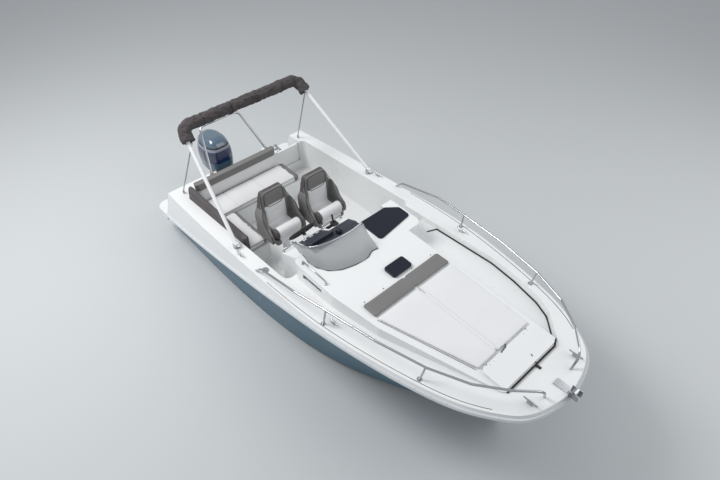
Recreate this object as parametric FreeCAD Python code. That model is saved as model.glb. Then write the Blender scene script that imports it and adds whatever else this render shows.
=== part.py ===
import FreeCAD, Part
import math
import os

# Speedboat with a cuddy cabin and an outboard engine
# Millimetres, +X forward, +Y to port, +Z up, origin on the waterline amidships

# Hull
hull_length = 5715
transom_x = -2750
half_beam = 1240
bow_height = 1225
keel_draft = 430
skin = 45
nose_skin = 60
chine_flat = 70
chine_drop = 20
sole_height = 400
liner_floor_wall = 70
overrun = 50

# Rub rail
rail_out = 24
rail_half_height = 22

# Stern
platform_height = 430
platform_length = 300
platform_wall = 110
platform_inner = 420
platform_corner = 130
coaming_end_x = -2600
well_front_x = -2375
well_half_width = 400
well_floor = 250

# Stations where the bulwark of the walkway is measured, and its width there as a share
walkway_shares = ((0.3, 1.0), (0.5, 1.0), (0.65, 1.0), (0.8, 1.0), (0.88, 1.2), (0.96, 2.0))
bulwark_width = 130
step_share = 0.72

# Cockpit
cockpit_aft_x = -2330
cockpit_front_x = -60
side_deck_width = 230
cockpit_half_width = half_beam - side_deck_width
cockpit_corner = 90
gate_inner = 530
gate_side = 300
gate_outer = half_beam - gate_side
gate_sill = 560

# Coachroof and cabin
roof_side_deck = 340
roof_starboard = half_beam - roof_side_deck
roof_port = 430
roof_front_x = 2570
roof_aft_height = 1300
roof_front_height = 1215
roof_edge_round = 30
roof_corner = 80
cabin_corner = 140
roof_middle_x = 1250
roof_middle_taper = 80
roof_middle_starboard = roof_starboard - roof_middle_taper
roof_front_starboard = 455
cabin_aft_x = 0
cabin_front_x = 1900
cabin_floor = 180
cabin_side_wall = 140
cabin_starboard = roof_starboard - cabin_side_wall
cabin_port = 370
cabin_front_half = 260
cabin_roof_wall = 55
entry_inner = 82
entry_outer = 618
entry_aft_x = 12
entry_front_x = 358
entry_front_taper = 75
entry_aft_taper = 115
entry_port_corner = 130
entry_arm_outer = 660
entry_arm_front = 470
entry_floor = 760
window_aft_x = 120
window_front_x = 440
window_drop = 155
window_bottom = roof_aft_height - window_drop
window_height = 70
walkway_inner = 430
walkway_side = 300
walkway_outer = half_beam - walkway_side
walkway_aft_x = 170
walkway_front_x = 2560
walkway_aft_height = 985
walkway_front_height = 1095

# Aft and side seats
seat_top = 800
cushion_thickness = 90
seat_front_x = -1770
side_seat_inner = 600
side_seat_front_x = -1000
backrest_thickness = 110
backrest_top = 1090
backrest_port = 455
side_back_thickness = 100
side_back_top = 1085
side_back_front_x = -900
seat_gap = 4

# Console
console_aft_x = -330
console_side_gap = 150
console_starboard = cockpit_half_width - console_side_gap
console_port = 70
dash_height = 1190
dash_front_height = roof_aft_height
screen_thickness = 6
hood_length = 90
hood_height = 60
hood_width = 330
dash_pad_aft_x = -190
dash_pad_front_x = 30
dash_pad_starboard = 640
dash_pad_port = 60
dash_pad_thickness = 10
screen_reach = 480
screen_half_width = 370
screen_middle_y = -415
screen_rise = 225
rail_tube_radius = 11
screen_rail_gap = 3.6
bow_rail_bend = 120
rail_foot_radius = 28
rail_foot_height = 5
post_share = 0.85
cleat_length = 150
cleat_width = 24
cleat_height = 38
cleat_base_share = 0.2
bimini_pivot_lift = 59
bimini_bend = 150
roll_share = 0.86
fork_gap = 1
fork_wall = 5
fork_length = 44

# Helm seats
helm_starboard_x = -798
helm_port_x = -688
helm_starboard_y = -475
helm_port_y = 110
post_radius = 50
post_flange_radius = 150
post_flange_thickness = 12
seat_base_height = 1050
seat_width = 540
seat_depth = 290
seat_cushion = 110
back_height = 628
back_thickness = 100
back_lean = 3
wing_thickness = 50
wing_edge = 14
head_width = 300
head_corner = 60
bolster_radius = 72
bolster_lift = 40
bolster_drop = 60
bolster_gap = 0.3
bolster_share = 0.85
bolster_pivot_lift = 6
pan_thickness = 25

# Steering
wheel_x = -455
wheel_y = -450
wheel_z = 1190
wheel_radius = 175
wheel_rim_radius = 15
wheel_tilt = 35
wheel_hub_radius = 45
spoke_share = 0.7
spoke_turns = (90, 210, 330)
column_radius = 22
column_length = 45
boss_radius = 34
boss_length = 130
throttle_y = -110

# Deck hardware
tube_radius = 12.5
clear = 0.3
pin_clear = 1.0
bore_clear = 0.1
hatch_x = 750
hatch_y = -90
hatch_length = 115
hatch_width = 230
hatch_thickness = 18
hatch_frame = 28
hatch_frame_height = 12
entry_lap = 12
entry_cover_thickness = 12
entry_cover_corner = 42
pad_aft_x = 940
pad_band_front_x = 1150
pad_front_x = 2246
pad_seam_y = -150
pad_gap = 5
pad_side_gap = 50
pad_starboard_aft = roof_middle_starboard - pad_side_gap
pad_starboard_front = 450
pad_port = 405
pad_port_front = 370
pad_corner = 25
pad_thickness = 32
lid_x = 2268
lid_length = 284
lid_starboard = 445
lid_port = 385
lid_thickness = 28
lid_corner = 40
locker_lap = 20
locker_depth = 140
roller_x = 3060
roller_length = 260
roller_half = 42
roller_cheek = 110
roller_radius = 28
throttle_x = -300
throttle_rise = 15
throttle_z = dash_height + throttle_rise
throttle_length = 90
throttle_half = 40
throttle_height = 45
throttle_lever = 150
window_recess = 20
filler_x = -369
filler_y = 1085
filler_radius = 42
filler_height = 9

# Gate and ladder
gate_x = -2365
gate_thickness = 30
gate_gap = 6
gate_height = 300
gate_pin_inset = 16
gate_pin_y = gate_outer - gate_pin_inset
gate_barrel_radius = 12
gate_lug = 12
ladder_hinge_x = -3068
ladder_eye_radius = 15
ladder_width = 280
ladder_length = 290
ladder_steps = 3
ladder_step_pitch = 90

# Bimini
pivot_x = -940
pivot_side = 135
pivot_y = half_beam - pivot_side
bow_tube_radius = 24
bow_top_x = -2200
bow_top_z = 2030
bow_top_y = 900
roll_radius = 85
strut_foot_x = -2420
strut_foot_y = 1080
strut_radius = 9
strut_share = 0.85
strut_offset = 42
strut_splay = 110
strut_foot_lift = 45
strut_seat_gap = 6
strut_socket_radius = 16
pin_radius = 5
strut_pin_gap = 1.5
eye_radius = 26
eye_width = 26
bimini_eye_width = 58

# Tow hoop
hoop_foot_x = -2540
hoop_foot_y = 480
hoop_top_x = -2950
hoop_top_y = 320
hoop_top_z = 1420
hoop_radius = 17
hoop_bend = 90
hoop_flange_radius = 30
lamp_radius = 22
lamp_height = 60

# Outboard
tilt_x = -2880
tilt_z = 420
swivel_x = -2965
cowl_front_x = -3010
cowl_length = 625
cowl_half_width = 228
cowl_bottom = 400
cowl_top = 990
plate_height = -385
prop_z = -600
prop_radius = 190
shaft_radius = 14
shaft_length = 190
bracket_half = 150
bracket_wall = 24
bracket_bottom = -60
bracket_lap = 60
tilt_tube_radius = 20
swivel_radius = 42
swivel_length = 330
swivel_bottom = 0
knuckle_radius = 34
web_half = 34
swivel_pin_radius = 22
arm_height = 45
arm_half = 28
leg_gap = 40
leg_length = 330
leg_half = 85
leg_belly_share = 0.4
plate_half = 125
plate_length = 430
plate_wall = 12
torpedo_nose = 90
torpedo_length = 400
torpedo_radius = 60
skeg_depth = 130
skeg_half = 7
skeg_back = 20
skeg_share = 0.55
neck_share = 0.35
plate_corner_share = 0.8
block_gap_share = 0.2
block_share = 0.66
cowl_wall = 12
prop_gap = 4
hub_radius = 48
hub_length = 110
blade_count = 3
blade_thickness = 12

V = FreeCAD.Vector

# How much the rub rail stands ahead of the hull at each station, and how far its lips stand out
rail_nose_shares = (0.0, 0.0, 0.0, 0.0, 0.0, 0.1, 0.3, 0.5, 0.7, 0.9, 1.0)
rail_lip_share = 0.6

# Foot and top of the windscreen: shares of its reach, half width and rise, from starboard aft to port
screen_foot_shares = ((-0.21, -0.95, 0.0), (0.17, -1.0, 0.0), (0.44, -0.95, 0.0), (0.69, -0.77, 0.0),
                      (0.875, -0.43, 0.0), (0.97, 0.0, 0.0), (0.99, 0.51, 0.0), (0.94, 1.0, 0.0))
screen_top_shares = ((-0.46, -0.95, 0.27), (-0.1, -0.96, 0.58), (0.17, -0.89, 0.85), (0.31, -0.68, 0.96),
                     (0.4, -0.3, 1.0), (0.43, 0.03, 1.0), (0.43, 0.51, 0.97), (0.375, 0.95, 0.92))

# Port bow rail: a run of (x, distance in from the deck's edge, rise above the deck), and its posts as
# (x, distance in, outward, forward, rise of the head)
bow_rail_points = ((-454, 41, 40), (-330, 46, 103), (300, 47, 205), (760, 82, 227), (1400, 75, 229),
                   (1950, 79, 225), (2350, 107, 221), (2650, 158, 213), (2840, 185, 182), (2830, 276, 0))
bow_rail_posts = ((729, 60, -22, 28, 227), (1902, 72, -14, 40, 226))
cleat_places = ((2780, 175), (795, 133), (-800, 56))

# Leg levels: shares of its length set back, of its length and half width, and of its height
leg_shares = ((0.0, 1.0, 1.0, 1.0), (0.0, 0.9, 0.8, 0.2), (0.06, 0.85, 0.45, 0.0))

# Cowl levels: shares of its height, of its length to the front and to the aft, of its half width
cowl_shares = ((0.0, 0.06, 0.86, 0.72), (0.2, 0.01, 0.96, 0.95), (0.5, 0.0, 1.0, 1.0),
               (0.75, 0.04, 0.95, 0.92), (0.92, 0.13, 0.84, 0.7), (1.0, 0.3, 0.66, 0.4))

# Plan of the cowl: shares of its length and of its half width, from front to aft
cowl_plan_shares = ((0.0, 0.7), (0.33, 1.0), (0.67, 0.95), (1.0, 0.5))

# Bullet of the gearcase: shares of its length and of its radius
torpedo_shares = ((0.0, 0.0), (0.04, 0.42), (0.15, 0.75), (0.4, 1.0), (0.7, 0.98), (1.0, 0.8))

# Side wing of a helm seat: shares of the depth ahead of the backrest and of the backrest's height
wing_shares = ((-0.34, 0.0), (0.86, 0.0), (0.94, 0.1), (0.84, 0.22), (0.52, 0.34), (0.2, 0.62),
               (0.08, 0.84), (-0.1, 0.98), (-0.36, 0.98), (-0.42, 0.5))

# Propeller blade: shares of the radius, chord shares and pitch angles
blade_shares = ((0.2, 0.5, 62), (0.5, 0.95, 45), (0.8, 1.0, 34), (0.98, 0.45, 28))

# Planing strakes under the hull: where each runs from keel to chine, its width as a share, and its stations
strake_places = (0.36, 0.68)
strake_width = 0.07
strake_root = 6
strake_stations = (0, 1, 2, 3, 4, 5, 6)

# The innermost width of the hull's room at the stem, and the last point of the inner chine
stem_share = 0.11
chine_end_share = 0.6

# A corner takes up to this share of its shorter run, and is left alone when it turns less than the angle
corner_share = 0.45
straight_angle = 0.01
halvings = 30

# Lines of the hull: shares of the length, of the half beam and of the bow's height
run_shares = (0.0, 0.15, 0.31, 0.47, 0.61, 0.73, 0.82, 0.89, 0.94, 0.975, 1.0)
deck_edge_shares = (
    (0.0, 0.927, 0.720), (0.149, 0.960, 0.762), (0.306, 0.972, 0.806), (0.464, 0.972, 0.850),
    (0.607, 0.952, 0.890), (0.726, 0.871, 0.923), (0.822, 0.774, 0.951), (0.901, 0.649, 0.973),
    (0.954, 0.500, 0.988), (0.985, 0.323, 0.996), (1.0, 0.048, 1.0))
rub_shares = (
    (0.0, 0.980, 0.351), (0.149, 0.996, 0.457), (0.306, 1.0, 0.584), (0.464, 1.0, 0.739),
    (0.607, 0.968, 0.845), (0.726, 0.887, 0.882), (0.822, 0.790, 0.908), (0.901, 0.665, 0.931),
    (0.9545, 0.512, 0.945), (0.987, 0.331, 0.953), (1.0017, 0.048, 0.957))
chine_shares = (
    (0.0, 0.871, 0.008), (0.149, 0.879, 0.004), (0.306, 0.871, 0.008), (0.464, 0.823, 0.024),
    (0.586, 0.726, 0.057), (0.691, 0.581, 0.106), (0.779, 0.427, 0.171), (0.852, 0.282, 0.253),
    (0.905, 0.161, 0.327), (0.936, 0.077, 0.376), (0.950, 0.016, 0.400))
keel_shares = (
    (0.0, -1.0), (0.149, -1.0), (0.306, -1.0), (0.464, -1.0), (0.586, -0.965), (0.691, -0.849),
    (0.779, -0.628), (0.852, -0.279), (0.905, 0.14), (0.936, 0.581), (0.949, 1.023))


def box(x0, x1, y0, y1, z0, z1):
    return Part.makeBox(x1 - x0, y1 - y0, z1 - z0, V(x0, y0, z0))


def corner_arc(before, here, after, radius):
    """Start, middle and end of the arc that rounds a corner, or the corner itself if it is straight."""
    into = (before - here).normalize()
    out = (after - here).normalize()
    angle = into.getAngle(out)
    if math.pi - angle < straight_angle:
        return here, None, here
    room = min((before - here).Length, (after - here).Length) * corner_share
    reach = min(radius / math.tan(angle / 2), room)
    real = reach * math.tan(angle / 2)
    middle = here + (into + out).normalize() * (real / math.sin(angle / 2) - real)
    return here + into * reach, middle, here + out * reach


def rounded_edges(corners, closed):
    """Straight edges and arcs through a list of rounded corners."""
    edges = []
    count = len(corners)
    for i in range(count):
        start, middle, end = corners[i]
        if middle is not None:
            edges.append(Part.Arc(start, middle, end).toShape())
        if i + 1 < count or closed:
            edges.append(Part.LineSegment(end, corners[(i + 1) % count][0]).toShape())
    return edges


def round_outline(points, radius):
    """Closed wire through the points with every corner rounded, in the plane of the points."""
    count = len(points)
    corners = [corner_arc(points[i - 1], points[i], points[(i + 1) % count], radius) for i in range(count)]
    return Part.Wire(rounded_edges(corners, True))


def slab(points, radius, height, bottom):
    """Prism on a plan outline of (x, y) points with rounded corners."""
    corners = [V(x, y, bottom) for x, y in points]
    face = Part.Face(round_outline(corners, radius))
    return face.extrude(V(0, 0, height))


def side_prism(points, y0, y1):
    """Prism between y0 and y1 on an outline of (x, z) points."""
    wire = Part.makePolygon([V(x, y0, z) for x, z in points + points[:1]])
    return Part.Face(wire).extrude(V(0, y1 - y0, 0))


def pipe(points, radius, bend):
    """Round bar along straight runs joined by tangent arcs."""
    corners = [(points[0], None, points[0])]
    for before, here, after in zip(points[:-2], points[1:-1], points[2:]):
        corners.append(corner_arc(before, here, after, bend))
    corners.append((points[-1], None, points[-1]))
    path = Part.Wire(rounded_edges(corners, False))
    ring = Part.Circle(points[0], points[1] - points[0], radius).toShape()
    return path.makePipeShell([Part.Wire([ring])], True, True)


def rod(start, end, radius):
    return Part.makeCylinder(radius, (end - start).Length, start, end - start)


def cross_bar(x, y, z, half, radius):
    """Round bar that runs across the boat, centred on a point."""
    return Part.makeCylinder(radius, half * 2, V(x, y - half, z), V(0, 1, 0))


def rectangle(x0, x1, y0, y1):
    """Corners of a rectangle in plan."""
    return [(x0, y0), (x1, y0), (x1, y1), (x0, y1)]


def mirrored(point):
    return V(point.x, -point.y, point.z)


def hull_points(shares, height, inset=0, nose_inset=0):
    points = []
    for share in shares:
        x_share = share[0]
        y = share[1] * half_beam if len(share) == 3 else 0
        z = share[-1] * height
        x = transom_x + x_share * hull_length - nose_inset * x_share ** 2
        if inset:
            y = max(y - inset, inset * stem_share)
        points.append(V(x, y, z))
    return points


def line_of(points):
    curve = Part.BSplineCurve()
    curve.interpolate(Points=points, Parameters=run_shares)
    return curve.toShape()


def hull_solid(lines):
    """Solid bounded by ruled surfaces between lines that run from transom to stem."""
    faces = []
    port = [line_of(points) for points in lines]
    starboard = [line_of([mirrored(point) for point in points]) for points in lines]
    for side in (port, starboard):
        for lower, upper in zip(side[:-1], side[1:]):
            faces.append(Part.makeRuledSurface(lower, upper))
    faces.append(Part.makeRuledSurface(port[-1], starboard[-1]))
    if lines[0][0].y > 0:
        faces.append(Part.makeRuledSurface(port[0], starboard[0]))
    for end in (0, -1):
        for lower, upper in zip(lines[:-1], lines[1:]):
            a = lower[end]
            b = upper[end]
            corners = [a, b, mirrored(b)]
            if a.y > 0:
                corners.append(mirrored(a))
            faces.append(Part.Face(Part.makePolygon(corners + [a])))
    shell = Part.makeShell(faces)
    shell.sewShape()
    solid = Part.makeSolid(shell)
    if solid.Volume < 0:
        solid.reverse()
    return solid


deck_line = hull_points(deck_edge_shares, bow_height)
rub_line = hull_points(rub_shares, bow_height)
chine_line = hull_points(chine_shares, bow_height)
inner_chine_line = []
for point in chine_line:
    share = point.y / chine_line[0].y
    inner_chine_line.append(V(point.x, point.y - chine_flat * share, point.z - chine_drop * share))
stem_end = chine_line[-1]
inner_chine_line[-1] = V(stem_end.x, stem_end.y * chine_end_share, stem_end.z - chine_drop / 4)
keel_line = hull_points(keel_shares, keel_draft)


wheel_normal = V(-math.cos(math.radians(wheel_tilt)), 0, math.sin(math.radians(wheel_tilt)))
deck_curve = Part.BSplineCurve()
deck_curve.interpolate(Points=deck_line, Parameters=run_shares)


def deck_point(x):
    """Point of the port deck edge at a distance forward, found by halving."""
    low, high = run_shares[0], run_shares[-1]
    if x >= deck_line[-1].x:
        return deck_line[-1]
    for step in range(halvings):
        middle = (low + high) / 2
        if deck_curve.value(middle).x < x:
            low = middle
        else:
            high = middle
    return deck_curve.value(low)


def deck_height(x):
    return deck_point(x).z


def deck_half_width(x):
    return deck_point(x).y


def roof_height(x):
    share = (x - cockpit_front_x) / (roof_front_x - cockpit_front_x)
    return roof_aft_height + (roof_front_height - roof_aft_height) * share


def walkway_height(x):
    share = (x - walkway_aft_x) / (walkway_front_x - walkway_aft_x)
    return walkway_aft_height + (walkway_front_height - walkway_aft_height) * share


def sloped_slab(points, radius, height_at, thickness):
    """Prism on a plan outline whose floor follows a straight slope along the boat."""
    corners = [V(x, y, height_at(x)) for x, y in points]
    face = Part.Face(round_outline(corners, radius))
    return face.extrude(V(0, 0, thickness))


def roof_outline(inset):
    return [(cockpit_front_x, -roof_starboard + inset), (roof_middle_x / 2, -roof_starboard + inset),
            (roof_middle_x, -roof_middle_starboard + inset),
            (roof_front_x - inset, -roof_front_starboard + inset),
            (roof_front_x - inset, roof_port - inset), (cockpit_front_x, roof_port - inset)]


def cockpit_room(inset):
    """Prism of the cockpit's plan, inset from its walls."""
    half = cockpit_half_width - inset
    plan = rectangle(cockpit_aft_x + inset, cockpit_front_x - inset, -half, half)
    return slab(plan, cockpit_corner - inset, bow_height, sole_height)


def walkway_outline():
    """Plan of the sunken walkway, from the step beside the cabin entrance to the bow."""
    points = [(entry_arm_front, walkway_inner), (entry_arm_front, entry_arm_outer)]
    points.append((walkway_aft_x, entry_arm_outer))
    points.append((walkway_aft_x, walkway_outer))
    for share, width_share in walkway_shares:
        x = walkway_aft_x + (walkway_front_x - walkway_aft_x) * share
        points.append((x, min(walkway_outer, deck_half_width(x) - bulwark_width * width_share)))
    points.append((walkway_front_x, walkway_inner))
    return points


def entry_outline(margin):
    """Plan of the cabin entrance in the coachroof, grown by a margin."""
    aft = entry_aft_x - margin
    front = entry_front_x + margin
    port = entry_outer + margin
    return [(aft, entry_inner - margin), (front, entry_inner - margin), (front - entry_front_taper, port),
            (aft + entry_aft_taper, port), (aft, entry_outer - entry_port_corner)]


def locker_outline(margin):
    """Plan of the anchor locker's lid, grown by a margin."""
    return rectangle(lid_x - margin, lid_x + lid_length + margin, -lid_starboard - margin, lid_port + margin)


def make_hull():
    lower = hull_solid([keel_line, inner_chine_line, chine_line, rub_line])
    upper = hull_solid([rub_line, deck_line])
    chine_inside = hull_points(chine_shares, bow_height, skin, nose_skin)
    rub_inside = hull_points(rub_shares, bow_height, skin, nose_skin)
    above = [V(p.x, p.y, bow_height * 2) for p in rub_inside]
    inside = hull_solid([chine_inside, rub_inside, above])
    floor = sole_height - liner_floor_wall
    room = box(transom_x * 2, bow_height * 4, -half_beam * 2, half_beam * 2, floor, bow_height * 3)
    inside = inside.common(room)
    hull = lower.cut(inside)
    for place in strake_places:
        for side in (1, -1):
            hull = hull.fuse(make_strake(place, side))
    hull = hull.removeSplitter()
    deck = upper.fuse(lower.common(inside)).removeSplitter()
    roof = sloped_slab(roof_outline(0), roof_corner, roof_height, -roof_aft_height / 4)
    arm_plan = rectangle(cockpit_front_x, entry_arm_front, 0, entry_arm_outer)
    arm = sloped_slab(arm_plan, roof_edge_round, roof_height, -roof_aft_height / 4)
    root = deck_height(cockpit_front_x) - overrun
    above_deck = box(cockpit_front_x, roof_front_x, -half_beam, half_beam, root, roof_aft_height)
    deck = deck.fuse(roof.fuse(arm).common(above_deck)).removeSplitter()
    cuts = []
    cuts.append(cockpit_room(0))
    stern = transom_x - overrun
    cuts.append(side_prism([(stern, platform_height), (coaming_end_x - platform_wall, platform_height),
                            (coaming_end_x + platform_wall, bow_height), (stern, bow_height)],
                           -half_beam * 2, half_beam * 2))
    cuts.append(box(stern, well_front_x, -well_half_width, well_half_width, well_floor, bow_height))
    cuts.append(box(stern, cockpit_aft_x + overrun, gate_inner, gate_outer, gate_sill, bow_height))
    cuts.append(sloped_slab(walkway_outline(), cockpit_corner, walkway_height, bow_height))
    cuts.append(box(cockpit_front_x - overrun, walkway_aft_x + overrun, entry_arm_outer, walkway_outer,
                    walkway_aft_height * step_share, bow_height * 2))
    cabin = [(cabin_aft_x, -cabin_starboard), (roof_middle_x / 2, -cabin_starboard),
             (cabin_front_x, -cabin_front_half), (cabin_front_x, cabin_front_half),
             (roof_middle_x, cabin_port), (cabin_aft_x, cabin_port)]
    room = slab(cabin, cabin_corner, bow_height, cabin_floor)
    over = rectangle(transom_x, roof_front_x, -half_beam, half_beam)
    above_ceiling = sloped_slab(over, roof_corner, cabin_ceiling, bow_height)
    cuts.append(room.cut(above_ceiling))
    door_outer = entry_outer - entry_port_corner
    cuts.append(box(cockpit_front_x - overrun, cabin_aft_x + overrun, entry_inner, door_outer, sole_height,
                    bow_height * 2))
    cuts.append(slab(entry_outline(0), roof_edge_round, bow_height * 2, entry_floor))
    cuts.append(slab(locker_outline(-locker_lap), lid_corner, bow_height, roof_height(lid_x) - locker_depth))
    cuts.append(box(hatch_x, hatch_x + hatch_length, hatch_y - hatch_width / 2, hatch_y + hatch_width / 2,
                    cabin_ceiling(hatch_x) - overrun, bow_height * 2))
    cuts.append(box(window_aft_x, window_front_x, -roof_starboard - overrun, -cabin_starboard + overrun,
                    window_bottom, window_bottom + window_height))
    for cut in cuts:
        deck = deck.cut(cut)
        hull = hull.cut(cut)
    joint_x = cabin_front_x + cabin_roof_wall
    aft_side = box(transom_x * 2, cockpit_front_x, -half_beam * 2, half_beam * 2, 0, bow_height * 2)
    bow_side = box(joint_x, bow_height * 4, -half_beam * 2, half_beam * 2, 0, bow_height * 2)
    panels = (deck.common(aft_side), deck.cut(aft_side).cut(bow_side), deck.common(bow_side))
    return hull, panels, make_rub_rail(lower, upper), upper


def make_strake(place, side):
    """Planing strake under the hull: flat below, with a sharp outer edge, and faded out ahead."""
    roots, edges, heads = [], [], []
    last = len(strake_stations) - 1
    for station in strake_stations:
        keel = keel_line[station]
        chine = inner_chine_line[station]
        width = strake_width * (1 - station / last)
        inner = keel + (chine - keel) * place
        outer = keel + (chine - keel) * (place + max(width, strake_width / last))
        roots.append(V(inner.x, inner.y * side, inner.z + strake_root))
        edges.append(V(outer.x, outer.y * side, inner.z))
        heads.append(V(outer.x, outer.y * side, outer.z + strake_root))
    wires = [Part.makePolygon([a, b, c, a]) for a, b, c in zip(roots, edges, heads)]
    return Part.makeLoft(wires, True, False)


def cabin_ceiling(x):
    return roof_height(x) - cabin_roof_wall


def make_rub_rail(lower, upper):
    """Rounded bar along the hull's widest line, from the transom round the bow."""
    lines = []
    for out, up in ((rail_out * rail_lip_share, -rail_half_height), (rail_out, 0),
                    (rail_out * rail_lip_share, rail_half_height)):
        lines.append([V(p.x + out * nose_share, p.y + out, p.z + up)
                      for p, nose_share in zip(rub_line, rail_nose_shares)])
    return largest(hull_solid(lines).cut(lower).cut(upper))


def largest(shape):
    return max(shape.Solids, key=lambda solid: solid.Volume)


def make_platforms():
    solids = []
    for side in (1, -1):
        outer = (half_beam - rail_out) * side
        points = [(transom_x, platform_inner * side), (transom_x - platform_length, platform_inner * side),
                  (transom_x - platform_length, outer), (transom_x, outer)]
        slab_solid = slab(points, platform_corner, platform_wall, platform_height - platform_wall)
        square = box(transom_x - platform_corner, transom_x, min(platform_inner * side, outer),
                     max(platform_inner * side, outer), platform_height - platform_wall, platform_height)
        solids.append(slab_solid.fuse(square).removeSplitter())
    return Part.makeCompound(solids)


def make_bench():
    """L-shaped seat base, aft and starboard, seat cushions and backrests."""
    base_top = seat_top - cushion_thickness
    inner = -cockpit_half_width + seat_gap
    port = gate_inner - seat_gap
    aft = cockpit_aft_x + clear
    aft_box = slab([(aft, inner), (seat_front_x, inner), (seat_front_x, port), (aft, port)],
                   seat_gap, base_top - sole_height, sole_height)
    side_box = slab([(seat_front_x - overrun, inner), (side_seat_front_x, inner),
                     (side_seat_front_x, -side_seat_inner), (seat_front_x - overrun, -side_seat_inner)],
                    seat_gap, base_top - sole_height, sole_height)
    room = cockpit_room(clear)
    base = aft_box.fuse(side_box).removeSplitter().common(room)
    round_edge = backrest_thickness / 3
    seat = slab([(aft + backrest_thickness, inner), (seat_front_x, inner), (seat_front_x, port),
                 (aft + backrest_thickness, port)], round_edge, cushion_thickness, base_top)
    side = slab([(seat_front_x + seat_gap, inner), (side_seat_front_x, inner),
                 (side_seat_front_x, -side_seat_inner), (seat_front_x + seat_gap, -side_seat_inner)],
                round_edge, cushion_thickness, base_top)
    back = slab([(aft, inner + side_back_thickness), (aft + backrest_thickness, inner + side_back_thickness),
                 (aft + backrest_thickness, backrest_port), (aft, backrest_port)],
                round_edge, backrest_top - base_top, base_top)
    side_back = slab([(aft, inner), (side_back_front_x, inner),
                      (side_back_front_x, inner + side_back_thickness - seat_gap),
                      (aft, inner + side_back_thickness - seat_gap)],
                     round_edge, side_back_top - seat_top, seat_top)
    side_back = side_back.common(room)
    seat = seat.cut(side_back)
    return base, seat, side, back, side_back


def dash_slope_height(x):
    share = (x - console_aft_x) / (cockpit_front_x - console_aft_x)
    return dash_height + (dash_front_height - dash_height) * share


def make_console():
    """Console with the wheel's boss, and the dark instrument hood with the pad round it."""
    outline = [(console_aft_x, sole_height), (console_aft_x, dash_height),
               (cockpit_front_x, dash_front_height), (cockpit_front_x, sole_height)]
    body = side_prism(outline, -console_starboard, console_port)
    hood = side_prism([(console_aft_x, dash_height), (console_aft_x + hood_length, dash_height + hood_height),
                       (cockpit_front_x - seat_gap, dash_front_height + hood_height),
                       (cockpit_front_x - seat_gap, dash_front_height)],
                      wheel_y - hood_width / 2, wheel_y + hood_width / 2)
    low = dash_slope_height(dash_pad_aft_x)
    front = pad_height(dash_pad_front_x)
    edge = dash_front_height + clear
    pad = side_prism([(dash_pad_aft_x, low), (cockpit_front_x, edge), (dash_pad_front_x, front),
                      (dash_pad_front_x, front + dash_pad_thickness),
                      (cockpit_front_x, edge + dash_pad_thickness),
                      (dash_pad_aft_x, low + dash_pad_thickness)], -dash_pad_starboard, dash_pad_port)
    boss = Part.makeCylinder(boss_radius, boss_length, wheel_point(wheel_rim_radius + column_length + clear),
                             wheel_normal * -1)
    body = largest(body.fuse(boss).removeSplitter())
    return body, largest(hood.fuse(pad).removeSplitter().cut(body))


def wheel_point(depth):
    """Point on the wheel's axis at a depth ahead of its centre."""
    return V(wheel_x, wheel_y, wheel_z) - wheel_normal * depth


def screen_points(shares):
    points = []
    for x_share, y_share, rise_share in shares:
        x = x_share * screen_reach
        y = screen_middle_y + y_share * screen_half_width
        points.append(V(x, y, roof_height(x) + clear + rise_share * screen_rise))
    return points


def make_windscreen():
    """Curved raked screen that stands on the coachroof ahead of the dash."""
    foot = screen_points(screen_foot_shares)
    top = screen_points(screen_top_shares)
    sections = []
    for low, high, share in zip(foot, top, screen_foot_shares):
        inward = V(-max(share[0], 0), -share[1], 0).normalize() * screen_thickness
        sections.append(Part.makePolygon([low, high, high + inward, low + inward, low]))
    return Part.makeLoft(sections, True, False), top


def seat_wing(back_x, y0, base):
    """Side wing that sweeps from the head of the seat down beside the bolster."""
    points = [V(back_x + forward * seat_depth, y0, base + up * back_height) for forward, up in wing_shares]
    wing = Part.Face(round_outline(points, head_corner)).extrude(V(0, wing_thickness, 0))
    return wing.makeFillet(wing_edge, [edge for edge in wing.Edges if edge.BoundBox.YLength < clear])


def seat_front_outline(y, base, top):
    """Outline of the seat from ahead: full width at the cushion, tapered to the head."""
    half = seat_width / 2 + clear
    head = head_width / 2
    waist = base + (top - base) / 2
    return [V(0, y - half, base - seat_cushion), V(0, y - half, waist), V(0, y - head, top),
            V(0, y + head, top), V(0, y + half, waist), V(0, y + half, base - seat_cushion)]


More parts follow.
